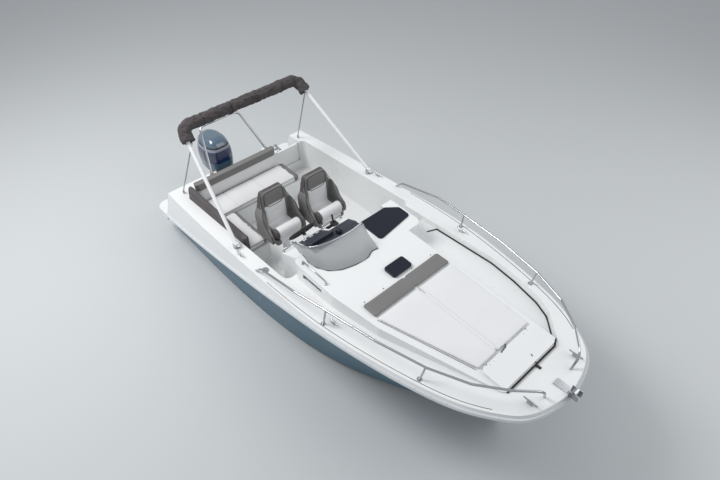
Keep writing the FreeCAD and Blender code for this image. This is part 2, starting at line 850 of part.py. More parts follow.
def make_helm_seat(helm_x, y):
    """Pedestal, bucket seat with a head and side wings, and flip-up bolster."""
    foot = Part.makeCylinder(post_flange_radius, post_flange_thickness, V(helm_x, y, sole_height))
    post_height = seat_base_height - sole_height - seat_cushion
    post = Part.makeCylinder(post_radius, post_height, V(helm_x, y, sole_height))
    pedestal = foot.fuse(post).removeSplitter()
    back_x = helm_x - seat_depth / 2
    front_x = back_x + seat_depth
    base = seat_base_height - seat_cushion
    rounding = seat_cushion / 3
    hinge_x = front_x - bolster_radius * 2 - bolster_gap
    inner = seat_width / 2 - wing_thickness
    cushion = box(back_x - back_thickness / 2, hinge_x, y - inner, y + inner, base, seat_base_height)
    pan_top = seat_base_height - bolster_drop - bolster_pivot_lift
    pan = slab(rectangle(back_x, front_x, y - inner, y + inner), rounding, pan_top - base + pan_thickness,
               base - pan_thickness)
    pedestal = pedestal.cut(pan)
    back = Part.makeBox(back_thickness, inner * 2, back_height, V(back_x - back_thickness, y - inner, base))
    back = back.makeFillet(rounding, back.Edges)
    back.rotate(V(back_x, y, base), V(0, 1, 0), -back_lean)
    seat = cushion.fuse(pan).fuse(back)
    for y0 in (y - inner - wing_thickness, y + inner):
        seat = seat.fuse(seat_wing(back_x, y0, base))
    front_view = Part.Face(round_outline(seat_front_outline(y, base, base + back_height), head_corner))
    front_view.translate(V(back_x - seat_depth, 0, 0))
    seat = largest(seat.removeSplitter().common(front_view.extrude(V(seat_depth * 3, 0, 0))))
    return pedestal, seat, make_bolster(front_x, hinge_x, y, inner - seat_gap)


def make_bolster(front_x, hinge_x, y, half):
    """Front roll of a helm seat on the flap and pin that it flips up on."""
    axis_x = front_x - bolster_radius
    z = seat_base_height + bolster_lift
    flap_half = half * bolster_share
    roll = cross_bar(axis_x, y, z, half, bolster_radius)
    flap = box(hinge_x + bolster_gap, axis_x + bolster_radius * bolster_share, y - flap_half, y + flap_half,
               seat_base_height - bolster_drop, z)
    pivot_z = seat_base_height + bolster_pivot_lift
    pin = cross_bar(hinge_x, y, pivot_z, flap_half, bolster_pivot_lift - pin_clear)
    return roll.fuse(flap).fuse(pin).removeSplitter()


def make_wheel():
    centre = V(wheel_x, wheel_y, wheel_z)
    rim = Part.makeTorus(wheel_radius, wheel_rim_radius)
    hub = Part.makeCylinder(wheel_hub_radius, wheel_rim_radius * 2, V(0, 0, -wheel_rim_radius))
    wheel = rim.fuse(hub)
    for turn in spoke_turns:
        spoke = Part.makeCylinder(wheel_rim_radius * spoke_share, wheel_radius, V(0, 0, 0), V(1, 0, 0))
        spoke.rotate(V(0, 0, 0), V(0, 0, 1), turn)
        wheel = wheel.fuse(spoke)
    column = Part.makeCylinder(column_radius, column_length, V(0, 0, -wheel_rim_radius - column_length))
    wheel = wheel.fuse(column).removeSplitter()
    wheel.rotate(V(0, 0, 0), V(0, 1, 0), -(90 - wheel_tilt))
    wheel.translate(centre)
    return largest(wheel)


def make_screen_rail(top):
    """Tube along the windscreen's top edge."""
    lift = V(0, 0, rail_tube_radius + screen_rail_gap)
    return pipe([point + lift for point in top], rail_tube_radius, rail_tube_radius * 4)


def make_bow_rail(side, deck_solid):
    """Tube from the coaming round the bow with two posts."""
    points = [V(x, (deck_half_width(x) - inward) * side, deck_height(x) + rise)
              for x, inward, rise in bow_rail_points]
    points[0].z = deck_height(points[0].x) - tube_radius
    points[-1].z = deck_height(points[-1].x) - tube_radius
    rail = pipe(points, tube_radius, bow_rail_bend)
    for x, inward, out, forward, rise in bow_rail_posts:
        y = deck_half_width(x) - inward
        foot = V(x, y * side, deck_height(x) - tube_radius)
        head = V(x + forward, (y + out) * side, deck_height(x) + rise)
        rail = rail.fuse(rod(foot, head, tube_radius * post_share))
        rail = rail.fuse(Part.makeCylinder(rail_foot_radius, rail_foot_height + tube_radius, foot))
    return largest(rail.cut(deck_solid))


def make_cleats(deck_solid):
    """Horn cleats at the bow, amidships and at the stern."""
    solids = []
    for x, inward in cleat_places:
        y = deck_half_width(x) - inward
        for side in (1, -1):
            z = deck_height(x)
            base = cleat_length * cleat_base_share
            stand = box(x - base, x + base, y * side - cleat_width / 2, y * side + cleat_width / 2,
                        z - cleat_height, z + cleat_height)
            horn = Part.makeCylinder(cleat_width / 3, cleat_length,
                                     V(x - cleat_length / 2, y * side, z + cleat_height), V(1, 0, 0))
            solids.append(largest(stand.fuse(horn).cut(deck_solid)))
    return solids


def make_bimini(deck_solid):
    """Folded sun top: main hoop, rolled canopy in its boot, struts and deck mounts."""
    pivot_z = deck_height(pivot_x) + bimini_pivot_lift
    foot = V(pivot_x, pivot_y, pivot_z)
    top = V(bow_top_x, bow_top_y, bow_top_z)
    line = [foot, top, mirrored(top), mirrored(foot)]
    hoop = pipe(line, bow_tube_radius, bimini_bend)
    for point in (foot, mirrored(foot)):
        eye = cross_bar(point.x, point.y, point.z, bimini_eye_width / 2, eye_radius)
        bore = cross_bar(point.x, point.y, point.z, bimini_eye_width, pin_radius + bore_clear)
        hoop = hoop.fuse(eye).cut(bore)
    roll_start = foot + (top - foot) * roll_share
    roll = pipe([roll_start, top, mirrored(top), mirrored(roll_start)], roll_radius, bimini_bend)
    roll = roll.cut(pipe(line, bow_tube_radius + clear, bimini_bend))
    mounts = []
    struts = []
    joint = foot + (top - foot) * strut_share
    for side in (1, -1):
        pivot = V(pivot_x, pivot_y * side, pivot_z)
        mounts.append(largest(fork(pivot, deck_height(pivot_x), bimini_eye_width).cut(deck_solid)))
        lower = V(strut_foot_x, strut_foot_y * side, deck_height(strut_foot_x) + clear + strut_foot_lift)
        upper = V(joint.x, (joint.y - strut_offset) * side, joint.z)
        lower.y = upper.y + strut_splay * side
        strut = rod(lower, upper, strut_radius)
        pin = rod(V(joint.x, (joint.y - strut_offset - strut_radius) * side, joint.z),
                  V(joint.x, (joint.y - bow_tube_radius - strut_pin_gap) * side, joint.z), pin_radius)
        struts.append(strut.fuse(pin))
        seat = Part.makeCylinder(strut_socket_radius, strut_foot_lift * 2,
                                 V(lower.x, lower.y, lower.z - strut_foot_lift * 2 - strut_seat_gap))
        mounts.append(largest(seat.cut(deck_solid)))
    return hoop, largest(roll), Part.makeCompound(struts), Part.makeCompound(mounts)


def fork(pivot, base_z, width):
    """Deck mount with two ears and the pin that the tube's eye turns on."""
    half = fork_length / 2
    ears = []
    for offset in (1, -1):
        middle = pivot.y + offset * (width / 2 + fork_gap + fork_wall / 2)
        ears.append(box(pivot.x - half, pivot.x + half, middle - fork_wall / 2, middle + fork_wall / 2,
                        base_z - fork_wall, pivot.z + half))
    reach = width / 2 + fork_gap + fork_wall
    shape = cross_bar(pivot.x, pivot.y, pivot.z, reach, pin_radius)
    plate = box(pivot.x - half, pivot.x + half, pivot.y - reach, pivot.y + reach, base_z - fork_wall,
                base_z + fork_wall)
    return shape.fuse(ears[0]).fuse(ears[1]).fuse(plate).removeSplitter()


def make_hoop(deck_solid):
    """Tow hoop over the engine, with a lamp on its bar."""
    foot = V(hoop_foot_x, hoop_foot_y, deck_height(hoop_foot_x) - hoop_radius)
    top = V(hoop_top_x, hoop_top_y, hoop_top_z)
    hoop = pipe([foot, top, mirrored(top), mirrored(foot)], hoop_radius, hoop_bend)
    for point in (foot, mirrored(foot)):
        hoop = hoop.fuse(Part.makeCylinder(hoop_flange_radius, hoop_radius + fork_wall, point))
    hoop = largest(hoop.cut(deck_solid))
    lamp = Part.makeCylinder(lamp_radius, lamp_height, V(hoop_top_x, 0, hoop_top_z + hoop_radius - clear))
    return hoop.fuse(lamp).removeSplitter()


def make_bracket():
    """Clamp bracket on the transom: plate, two ears and the tilt tube between them."""
    clamp = cross_bar(tilt_x, 0, tilt_z, bracket_half, tilt_tube_radius)
    ear_round = tilt_tube_radius * 3 / 2
    for side in (1, -1):
        y = side * (bracket_half - bracket_wall / 2)
        ear = side_prism([(transom_x, bracket_bottom), (transom_x, well_floor + bracket_lap),
                          (tilt_x + ear_round, tilt_z + tilt_tube_radius), (tilt_x, tilt_z + ear_round),
                          (tilt_x - ear_round, tilt_z), (tilt_x - tilt_tube_radius, tilt_z - ear_round),
                          (transom_x - bracket_wall * 2, bracket_bottom)],
                         y - bracket_wall / 2, y + bracket_wall / 2)
        clamp = clamp.fuse(ear)
    plate = box(transom_x - bracket_wall, transom_x, -bracket_half, bracket_half, bracket_bottom,
                well_floor + bracket_lap)
    return clamp.fuse(plate).removeSplitter()


def make_swivel():
    """Knuckle on the tilt tube, with the barrel that the leg steers in."""
    top = swivel_bottom + swivel_length
    knuckle = cross_bar(tilt_x, 0, tilt_z, bracket_half - bracket_wall - pin_clear, knuckle_radius)
    barrel = Part.makeCylinder(swivel_radius, swivel_length, V(swivel_x, 0, swivel_bottom))
    near = swivel_x + swivel_radius
    foot = swivel_bottom + swivel_radius
    web = side_prism([(swivel_x, foot), (swivel_x, top), (near, top), (tilt_x - knuckle_radius / 2, tilt_z),
                      (tilt_x + knuckle_radius / 2, tilt_z), (near + swivel_radius, top / 2), (near, foot)],
                     -web_half, web_half)
    swivel = knuckle.fuse(barrel).fuse(web)
    swivel = swivel.cut(cross_bar(tilt_x, 0, tilt_z, half_beam, tilt_tube_radius + pin_clear / 2))
    bore = Part.makeCylinder(swivel_pin_radius + pin_clear / 2, swivel_length * 2,
                             V(swivel_x, 0, swivel_bottom - overrun))
    return largest(swivel.cut(bore).removeSplitter())


def make_torpedo(nose_x):
    """Bullet of the gearcase, and the distance forward of its flat aft end."""
    profile = []
    for share, radius_share in torpedo_shares:
        profile.append(V(nose_x - share * torpedo_length, 0, prop_z + radius_share * torpedo_radius))
    spine = Part.BSplineCurve()
    spine.interpolate(Points=profile)
    centre = V(profile[-1].x, 0, prop_z)
    wire = Part.Wire([spine.toShape(), Part.LineSegment(profile[-1], centre).toShape(),
                      Part.LineSegment(centre, profile[0]).toShape()])
    return Part.Face(wire).revolve(V(0, 0, prop_z), V(1, 0, 0), 360), centre.x


def make_leg():
    """Leg with its steering pin and arms, cavitation plate, gearcase, skeg and propeller shaft."""
    leg_x = swivel_x - swivel_radius - leg_gap
    sections = []
    for back_share, length_share, half_share, height_share in leg_shares:
        z = plate_height + (cowl_bottom - clear - plate_height) * height_share
        front = leg_x - leg_length * back_share
        sections.append(leg_section(front, leg_length * length_share, leg_half * half_share, z))
    leg = Part.makeLoft(sections, True, False)
    plate = slab(rectangle(leg_x - plate_length, leg_x, -plate_half, plate_half),
                 plate_half * plate_corner_share, plate_wall, plate_height)
    torpedo, end_x = make_torpedo(leg_x + torpedo_nose)
    neck_x = leg_x - skeg_back
    neck = Part.makeLoft([leg_section(neck_x, leg_length * post_share, leg_half * neck_share, plate_height),
                          leg_section(neck_x, leg_length * spoke_share, leg_half / 4, prop_z)], True, False)
    skeg_aft = leg_x - leg_length * post_share
    skeg_foot = prop_z - skeg_depth
    skeg = side_prism([(neck_x - skeg_back, prop_z), (skeg_aft, prop_z), (skeg_aft, skeg_foot),
                       (leg_x - leg_length * skeg_share, skeg_foot)], -skeg_half, skeg_half)
    top = swivel_bottom + swivel_length
    pin = Part.makeCylinder(swivel_pin_radius, swivel_length + 2 * arm_height,
                            V(swivel_x, 0, swivel_bottom - arm_height))
    leg = leg.fuse(plate).fuse(neck).fuse(torpedo).fuse(skeg).fuse(pin)
    for z in (swivel_bottom - arm_height, top + pin_clear):
        leg = leg.fuse(box(leg_x - overrun, swivel_x + swivel_pin_radius, -arm_half, arm_half, z,
                           z + arm_height - pin_clear))
    shaft = Part.makeCylinder(shaft_radius, shaft_length, V(end_x - shaft_length, 0, prop_z), V(1, 0, 0))
    return largest(leg.fuse(shaft).removeSplitter()), end_x


def make_outboard():
    """Clamp bracket, swivel and leg, cowl, powerhead and propeller."""
    leg, end_x = make_leg()
    cowl = cowl_solid(0).cut(cowl_solid(cowl_wall))
    space = cowl_solid(cowl_wall + clear)
    block_front = cowl_front_x - cowl_length * block_gap_share
    block_aft = cowl_front_x - cowl_length * (1 - block_gap_share)
    block_half = cowl_half_width * block_share
    block_top = cowl_bottom + (cowl_top - cowl_bottom) * block_share
    block = box(block_aft, block_front, -block_half, block_half, cowl_bottom + cowl_wall + clear, block_top)
    block = block.common(space)
    prop_x = end_x - prop_gap
    prop = Part.makeCone(hub_radius, hub_radius * post_share, hub_length, V(prop_x, 0, prop_z), V(-1, 0, 0))
    for turn in range(blade_count):
        blade = make_blade(prop_x - hub_length / 2)
        blade.rotate(V(0, 0, prop_z), V(1, 0, 0), turn * 360 / blade_count)
        prop = prop.fuse(blade)
    bore = Part.makeCylinder(shaft_radius + bore_clear, hub_length * 3,
                             V(prop_x - hub_length * 2, 0, prop_z), V(1, 0, 0))
    return make_bracket(), make_swivel(), leg, cowl, block, largest(prop.cut(bore))


def leg_section(front_x, length, half, z):
    """Lens-shaped section of the leg, blunt ahead and tapered aft."""
    front = V(front_x, 0, z)
    aft = V(front_x - length, 0, z)
    port = V(front_x - length * leg_belly_share, half, z)
    starboard = mirrored(port)
    curve = Part.BSplineCurve()
    curve.interpolate(Points=[front, port, aft, starboard], PeriodicFlag=True)
    return Part.Wire([curve.toShape()])


def cowl_solid(inset):
    """Rounded engine cover, lofted from its bottom plan up to its crown, or the room inside its wall."""
    wires = []
    for height_share, front_share, aft_share, width_share in cowl_shares:
        z = cowl_bottom + inset + height_share * (cowl_top - cowl_bottom - 2 * inset)
        front = cowl_front_x - inset - front_share * cowl_length
        aft = cowl_front_x + inset - aft_share * cowl_length
        half = cowl_half_width * width_share - inset
        side = [V(front + (aft - front) * along, half * out, z) for along, out in cowl_plan_shares]
        points = [mirrored(point) for point in side] + side[::-1]
        wires.append(round_outline(points, half))
    return Part.makeLoft(wires, True, False)


def make_blade(x):
    """Propeller blade: sections that twist from root to tip."""
    wires = []
    for reach_share, chord_share, pitch in blade_shares:
        z = prop_z + reach_share * prop_radius
        half = chord_share * prop_radius / 2
        ahead = V(math.sin(math.radians(pitch)) * half, math.cos(math.radians(pitch)) * half, 0)
        across = V(math.cos(math.radians(pitch)), -math.sin(math.radians(pitch)), 0) * blade_thickness / 2
        centre = V(x, 0, z)
        wires.append(Part.makePolygon([centre - ahead, centre + across, centre + ahead, centre - across,
                                       centre - ahead]))
    return Part.makeLoft(wires, True, False)


def make_transom_gate():
    """Walk-through door in the transom with its hinge barrel, and the pin and lugs it turns on."""
    half = gate_thickness / 2
    plan = rectangle(gate_x - half, gate_x + half, gate_inner + gate_gap, gate_pin_y - gate_barrel_radius)
    panel = slab(plan, half, gate_height, gate_sill + gate_gap)
    foot = V(gate_x + half, gate_pin_y, gate_sill + gate_gap + gate_lug)
    barrel_height = gate_height - 2 * gate_lug
    barrel = Part.makeCylinder(gate_barrel_radius, barrel_height, foot)
    leaf = box(gate_x, gate_x + half, gate_pin_y - gate_barrel_radius * 2, gate_pin_y, foot.z,
               foot.z + barrel_height)
    bore = Part.makeCylinder(pin_radius + bore_clear, bow_height, V(foot.x, foot.y, 0))
    gate = largest(panel.fuse(barrel).fuse(leaf).removeSplitter().cut(bore))
    pin = Part.makeCylinder(pin_radius, gate_height, V(foot.x, foot.y, gate_sill + gate_gap))
    for z in (gate_sill + gate_gap, gate_sill + gate_gap + gate_height - gate_lug):
        lug = box(foot.x - pin_radius, foot.x + gate_lug, foot.y, gate_outer, z, z + gate_lug - clear)
        pin = pin.fuse(lug)
    return gate, pin.removeSplitter()


def make_ladder():
    """Boarding ladder stowed flat on the port platform, with eyes round the pin of its bracket."""
    middle = (platform_inner + half_beam) / 2
    z = platform_height + ladder_eye_radius + clear
    shapes = []
    for side in (1, -1):
        y = middle + side * ladder_width / 2
        rail = rod(V(ladder_hinge_x + pin_radius, y, z), V(ladder_hinge_x + ladder_length, y, z), tube_radius)
        eye = cross_bar(ladder_hinge_x, y, z, eye_width / 2, ladder_eye_radius)
        shapes.append(rail.fuse(eye))
    for step in range(ladder_steps):
        x = ladder_hinge_x + ladder_step_pitch * (step + 1)
        shapes.append(cross_bar(x, middle, z, ladder_width / 2, tube_radius * post_share))
    ladder = shapes[0]
    for shape in shapes[1:]:
        ladder = ladder.fuse(shape)
    reach = ladder_width / 2 + eye_width / 2 + fork_gap + fork_wall
    ladder = largest(ladder.cut(cross_bar(ladder_hinge_x, middle, z, reach, pin_radius + bore_clear)))
    bracket = cross_bar(ladder_hinge_x, middle, z, reach, pin_radius)
    for side in (1, -1):
        y = middle + side * (reach - fork_wall / 2)
        ear = side_prism([(ladder_hinge_x - ladder_eye_radius, z + ladder_eye_radius),
                          (ladder_hinge_x + ladder_eye_radius * 3, z + ladder_eye_radius),
                          (ladder_hinge_x + ladder_eye_radius * 3, platform_height),
                          (transom_x - platform_length, platform_height),
                          (ladder_hinge_x - ladder_eye_radius, z - ladder_eye_radius / 2)],
                         y - fork_wall / 2, y + fork_wall / 2)
        bracket = bracket.fuse(ear)
    return ladder, bracket.removeSplitter()


def hatch_outline(margin):
    half = hatch_width / 2 + margin
    return rectangle(hatch_x - margin, hatch_x + hatch_length + margin, hatch_y - half, hatch_y + half)


def hinge_edge(x, y0, y1, height_at, thickness):
    """Round edge that a lid hinges on, as thick as the lid."""
    middle = height_at(x) + thickness / 2
    return cross_bar(x, (y0 + y1) / 2, middle, (y1 - y0) / 2, thickness / 2)


def make_roof_hatch():
    """Tinted lid in its frame over the cabin, with its hinge edge ahead."""
    outline = hatch_outline(hatch_frame)
    frame = sloped_slab(outline, hatch_frame, roof_height, hatch_frame_height)
    opening = box(hatch_x, hatch_x + hatch_length, hatch_y - hatch_width / 2, hatch_y + hatch_width / 2,
                  0, bow_height * 2)
    lid = sloped_slab(outline, hatch_frame, lid_seat_height, hatch_thickness)
    half = hatch_width / 2
    hinge = hinge_edge(hatch_x + hatch_length + hatch_frame, hatch_y - half, hatch_y + half, lid_seat_height,
                       hatch_thickness)
    lid = lid.fuse(hinge)
    return frame.cut(opening), lid.removeSplitter()


def lid_seat_height(x):
    return roof_height(x) + hatch_frame_height + clear


def make_entry_hatch():
    """Tinted sliding cover over the cabin entrance."""
    return sloped_slab(entry_outline(entry_lap), entry_cover_corner, pad_height, entry_cover_thickness)


def make_pads():
    """Sun pads on the coachroof: a grey band aft and two long pads."""
    band = []
    pads = []
    starboard_seam = pad_seam_y - pad_gap / 2
    port_seam = pad_seam_y + pad_gap / 2
    for y0, y1 in ((-pad_starboard_aft, starboard_seam), (port_seam, pad_port)):
        plan = rectangle(pad_aft_x, pad_band_front_x, y0, y1)
        band.append(sloped_slab(plan, pad_corner, pad_height, pad_thickness))
    aft = pad_band_front_x + pad_gap
    starboard = [(aft, -pad_starboard_aft), (pad_front_x, -pad_starboard_front),
                 (pad_front_x, starboard_seam), (aft, starboard_seam)]
    port = [(aft, port_seam), (pad_front_x, port_seam), (pad_front_x, pad_port_front), (aft, pad_port)]
    for plan in (starboard, port):
        pads.append(sloped_slab(plan, pad_corner, pad_height, pad_thickness))
    return Part.makeCompound(band), Part.makeCompound(pads)


def pad_height(x):
    return roof_height(x) + clear


def make_locker_lid():
    """Lid over the anchor locker at the front of the coachroof, with its hinge edge aft."""
    lid = sloped_slab(locker_outline(0), lid_corner, pad_height, lid_thickness)
    hinge = hinge_edge(lid_x, lid_corner - lid_starboard, lid_port - lid_corner, pad_height, lid_thickness)
    return lid.fuse(hinge).removeSplitter()


def make_bow_roller(deck_solid):
    """Channel on the stem with the roller that the anchor line runs over."""
    z = bow_height
    floor = z - fork_wall * 4
    shape = box(roller_x - roller_length, roller_x, -roller_half, roller_half, floor, z + fork_wall)
    shape = shape.cut(deck_solid)
    for side in (1, -1):
        y = side * (roller_half - fork_wall / 2)
        cheek = box(roller_x - roller_cheek, roller_x, y - fork_wall / 2, y + fork_wall / 2, z,
                    z + roller_radius * 2)
        shape = shape.fuse(cheek)
    centre = V(roller_x - roller_cheek / 2, 0, z + roller_radius + fork_wall * 2)
    across = V(0, roller_half, 0)
    roller_end = V(0, roller_half - fork_wall * 3 / 2, 0)
    shape = shape.fuse(rod(centre - across, centre + across, pin_radius))
    shape = shape.fuse(rod(centre - roller_end, centre + roller_end, roller_radius))
    return largest(shape.removeSplitter())


def make_throttle(console):
    """Engine control beside the wheel: a rounded box with its lever."""
    front = throttle_x + throttle_length
    plan = rectangle(throttle_x, front, throttle_y - throttle_half, throttle_y + throttle_half)
    body = slab(plan, throttle_half / 2, throttle_height * 2, throttle_z - throttle_height)
    lever = rod(V(throttle_x + throttle_length / 2, throttle_y, throttle_z),
                V(throttle_x, throttle_y, throttle_z + throttle_lever), column_radius / 2)
    return largest(body.fuse(lever).removeSplitter().cut(console))


def make_side_window():
    """Dark pane set in the starboard side of the coachroof."""
    y = -roof_starboard + window_recess
    top = window_bottom + window_height
    return box(window_aft_x, window_front_x, y, y + screen_thickness, window_bottom, top)


def make_filler(deck_solid):
    """Round filler cap on the starboard side deck."""
    foot = V(filler_x, -filler_y, deck_height(filler_x) - filler_height)
    return largest(Part.makeCylinder(filler_radius, filler_height * 2, foot).cut(deck_solid))


def main():
    os.makedirs("parts", exist_ok=True)
    hull, panels, rail, deck_solid = make_hull()
    nodes = {'hull': hull, 'rub_rail': rail, 'swim_platforms': make_platforms()}
    nodes['cockpit_liner'], nodes['coachroof'], nodes['foredeck'] = panels
    names = ('bench_base', 'bench_cushion', 'side_cushion', 'bench_backrest', 'side_backrest')
    for name, shape in zip(names, make_bench()):
        nodes[name] = shape
    nodes['console'], nodes['instrument_hood'] = make_console()
    nodes['windscreen'], top = make_windscreen()
    nodes['windscreen_rail'] = make_screen_rail(top)
    starboard = make_helm_seat(helm_starboard_x, helm_starboard_y)
    port = make_helm_seat(helm_port_x, helm_port_y)
    nodes['seat_posts'] = Part.makeCompound([starboard[0], port[0]])
    nodes['helm_seats'] = Part.makeCompound([starboard[1], port[1]])
    nodes['bolster_starboard'] = starboard[2]
    nodes['bolster_port'] = port[2]
    nodes['steering_wheel'] = make_wheel()
    nodes['throttle'] = make_throttle(nodes['console'])
    nodes['bow_rails'] = Part.makeCompound([make_bow_rail(1, deck_solid), make_bow_rail(-1, deck_solid)])
    nodes['deck_fittings'] = Part.makeCompound(make_cleats(deck_solid) + [make_filler(deck_solid)])
    frame, roll, struts, mounts = make_bimini(deck_solid)
    nodes['bimini_frame'] = frame
    nodes['bimini_roll'] = roll
    nodes['bimini_struts'] = struts
    nodes['bimini_mounts'] = mounts
    nodes['tow_hoop'] = make_hoop(deck_solid)
    names = ('engine_bracket', 'engine_swivel', 'engine_leg', 'engine_cowl', 'engine_block', 'propeller')
    for name, shape in zip(names, make_outboard()):
        nodes[name] = shape
    nodes['transom_gate'], nodes['gate_hinge'] = make_transom_gate()
    nodes['swim_ladder'], nodes['ladder_bracket'] = make_ladder()
    nodes['roof_hatch_frame'], nodes['roof_hatch_lid'] = make_roof_hatch()
    nodes['entry_cover'] = make_entry_hatch()
    nodes['pad_band'], nodes['sun_pads'] = make_pads()
    nodes['locker_lid'] = make_locker_lid()
    nodes['bow_roller'] = make_bow_roller(deck_solid)
    nodes['side_window'] = make_side_window()
    for name, shape in nodes.items():
        shape.exportStep(os.path.join('parts', name + '.step'))
        print(name, shape.isValid(), len(shape.Solids), round(shape.Volume / 1e6, 2))


main()
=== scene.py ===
import math

import bpy
import bmesh
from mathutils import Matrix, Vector, noise


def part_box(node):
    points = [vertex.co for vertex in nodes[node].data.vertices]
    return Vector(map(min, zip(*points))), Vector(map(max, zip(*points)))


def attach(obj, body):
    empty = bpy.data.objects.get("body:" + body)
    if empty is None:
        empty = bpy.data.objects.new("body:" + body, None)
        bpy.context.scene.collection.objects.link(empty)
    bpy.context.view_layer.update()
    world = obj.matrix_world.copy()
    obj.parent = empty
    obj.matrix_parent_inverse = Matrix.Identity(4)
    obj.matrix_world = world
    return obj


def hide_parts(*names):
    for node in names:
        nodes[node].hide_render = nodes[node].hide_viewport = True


bl_info = {
    "name": "Speedboat Dressing",
    "version": (1, 0, 0),
    "blender": (4, 5, 0),
    "location": "View3D > Sidebar > Speedboat",
    "description": "Upholstery, canvas, trim and finishes for a cuddy-cabin speedboat",
    "category": "Object",
}

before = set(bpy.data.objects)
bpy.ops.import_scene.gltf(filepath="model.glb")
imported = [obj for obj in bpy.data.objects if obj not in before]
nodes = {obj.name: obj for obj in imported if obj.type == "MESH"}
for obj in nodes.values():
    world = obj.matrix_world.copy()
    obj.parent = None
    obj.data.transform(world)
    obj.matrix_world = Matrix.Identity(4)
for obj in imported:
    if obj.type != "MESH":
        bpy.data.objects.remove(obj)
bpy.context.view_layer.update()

ROOT = "boat"

# Camera, lamps and floor: lamps are (name, place, power, size)
CAMERA_PLACE = (3.6945, -3.3226, 5.8786)
CAMERA_YAW = 2.3975
CAMERA_DOWN = 0.7691
CAMERA_LENS = 28.29
LAMPS = (("Key", (-4.5, -4.0, 8.0), 600.0, 4.0), ("Fill", (5.0, 5.0, 6.0), 230.0, 7.0))
LAMP_AIM = (0, 0, 0.6)
FLOOR_SIZE = 120.0

# Relief of the materials, and the line along the chine: shares of the length and of the span it rises
GRAIN_RISE = 0.001
WEAVE_RISE = 0.0008
TREAD_RISE = 0.0012
TREAD_LEVEL = 0.97
TREAD_TOP = 1.15
CHINE_RISE = ((0.0, 0.03), (0.46, 0.05), (0.61, 0.12), (0.74, 0.24), (0.84, 0.40), (0.92, 0.64), (1.0, 1.0))
CHINE_SPAN = 0.55
CHINE_LINE = (0.01, 0.012, 0.016)
CHINE_LINE_WIDTH = 0.022

# Upholstery
HELMS = ("Starboard", "Port")
HANDS = (("Right", -1), ("Left", 1))
SEAT_DEPTH = 0.29
HEAD_HEIGHT = 0.22
WHITE_HALF = 0.15
WING_HEIGHT = 0.598
WING_SHARES = ((0.86, 0.0), (0.94, 0.1), (0.84, 0.22), (0.52, 0.34), (0.2, 0.62), (0.08, 0.84), (-0.1, 0.98))
BOLSTER_RADIUS = 0.072
BOLSTER_SEAM = 0.165
BOLSTER_SWELL = 0.008
BOLSTER_SUNK = 0.45
SEAT_SWELL = 0.009
PAD_SWELL = 0.007
THREAD_RADIUS = 0.001
THREAD_LIFT = 0.0004
ROW_END = 0.04
BORDER_ROW = 0.014
SEAM_ROW = 0.012
PAD_ROW = 0.022
ROW_LIFT = 0.02
ZIP_END = 0.12
PAD_SEAM = -0.150
PAD_LINE = 0.0022
PAD_FRONT_STARBOARD = -0.450
PAD_SEAM_RISE = 0.030
BOOT_INSET = 0.014
RIPPLE_RISE = 0.011
PLEAT_RISE = 0.022
PLEAT_LEVEL = 0.8
FOLD_RISE = 0.002
COVER_FOLD = 0.004
CLOTH_PRESSURE = 4.0
CLOTH_FRAMES = 20
STUD_PLACES = ((0.915, (-0.70, -0.42, 0.02, 0.33)), (2.262, (-0.36, -0.06, 0.27)))

# Dashboard: dials as (name, way from the wheel's middle, radius), runs as (start, end, pitch)
DIALS = (("Tachometer", 0.0, 0.040), ("Speedometer", 0.095, 0.034), ("FuelGauge", -0.095, 0.034))
DIAL_START = 0.30
DIAL_AIM = (0.66, 0, -0.52)
SWITCH_PLACE = (-0.265, -0.150)
ROCKER_STATIONS = (-0.280, -0.250)
ROCKER_RUN = (-0.205, -0.095, 0.022)
ROCKER_LIFT = 0.003
COMPASS_PLACE = (-0.045, -0.215)

# Screen, grab rails and engine: the rails as (name, feet in plan)
SCREEN_REACH = 0.48
SCREEN_HALF = 0.37
SCREEN_MIDDLE = -0.415
SCREEN_FOOT_SHARES = ((-0.1, -0.955), (0.17, -1.0), (0.44, -0.95), (0.69, -0.77), (0.875, -0.43), (0.97, 0.0),
                      (0.99, 0.51), (0.94, 1.0))
GRAB_RAILS = (("DashRail", ((-0.315, -0.255), (-0.315, 0.045))),
              ("DashRailStarboard", ((-0.315, -0.835), (-0.315, -0.650))),
              ("RoofGrabRail", ((0.06, -0.845), (0.46, -0.845))))
RAIL_RISE = 0.045
RAIL_BEND = 0.012
RAIL_RADIUS = 0.008
GASKET_RADIUS = 0.005
COWL_SEAM = 0.004
COWL_SEAM_SHARE = 0.12
BOLT_RADIUS = 0.010

# Lines, screws and outlets: runs as (start, end, pitch), straps as ends ahead of the locker and to port
# The deck line is a seam across the front of the raised deck and painted shade at the foot of the port
# bulwark.
SEAM_AND_SHADE_RADIUS = 0.0095
# The rail lines along the side decks are painted shadow of the bow rails.
RAIL_SHADOW_RADIUS = 0.003
RAIL_SHADOW_INSET = 0.055
RAIL_SHADOW_RUN = (-0.20, 2.58, 0.06)
STRAP_RADIUS = 0.0055
STRAPS = (((-0.09, 0.06), (0.02, 0.03)), ((-0.30, -0.145), (-0.31, -0.06)),
          ((-0.31, -0.06), (-0.335, -0.015)))
SCREW_RUN = (-2.62, 2.20, 0.16)
FRAME_SCREW = 0.012
LID_SCREWS = (-0.33, -0.27, 0.21, 0.27)
LIP_INSET = 0.004
OUTLET_STATIONS = (-2.25, -1.9, -0.4)
OUTLET_HEIGHT = 0.42

# Deck nodes that rays look for, and places clear of the boat that they start from
DECK_NODES = ("cockpit_liner", "coachroof", "foredeck")
OVERHEAD = 3.0
OVERSIDE = 1.8
DECK_SEARCH = 1.5
HALVINGS = 12


# Settings

def shade(name, description, default):
    return bpy.props.FloatVectorProperty(name=name, description=description, subtype="COLOR", size=3,
                                         default=default)


def measure(name, description, default, **limits):
    return bpy.props.FloatProperty(name=name, description=description, default=default, unit="LENGTH",
                                   **limits)


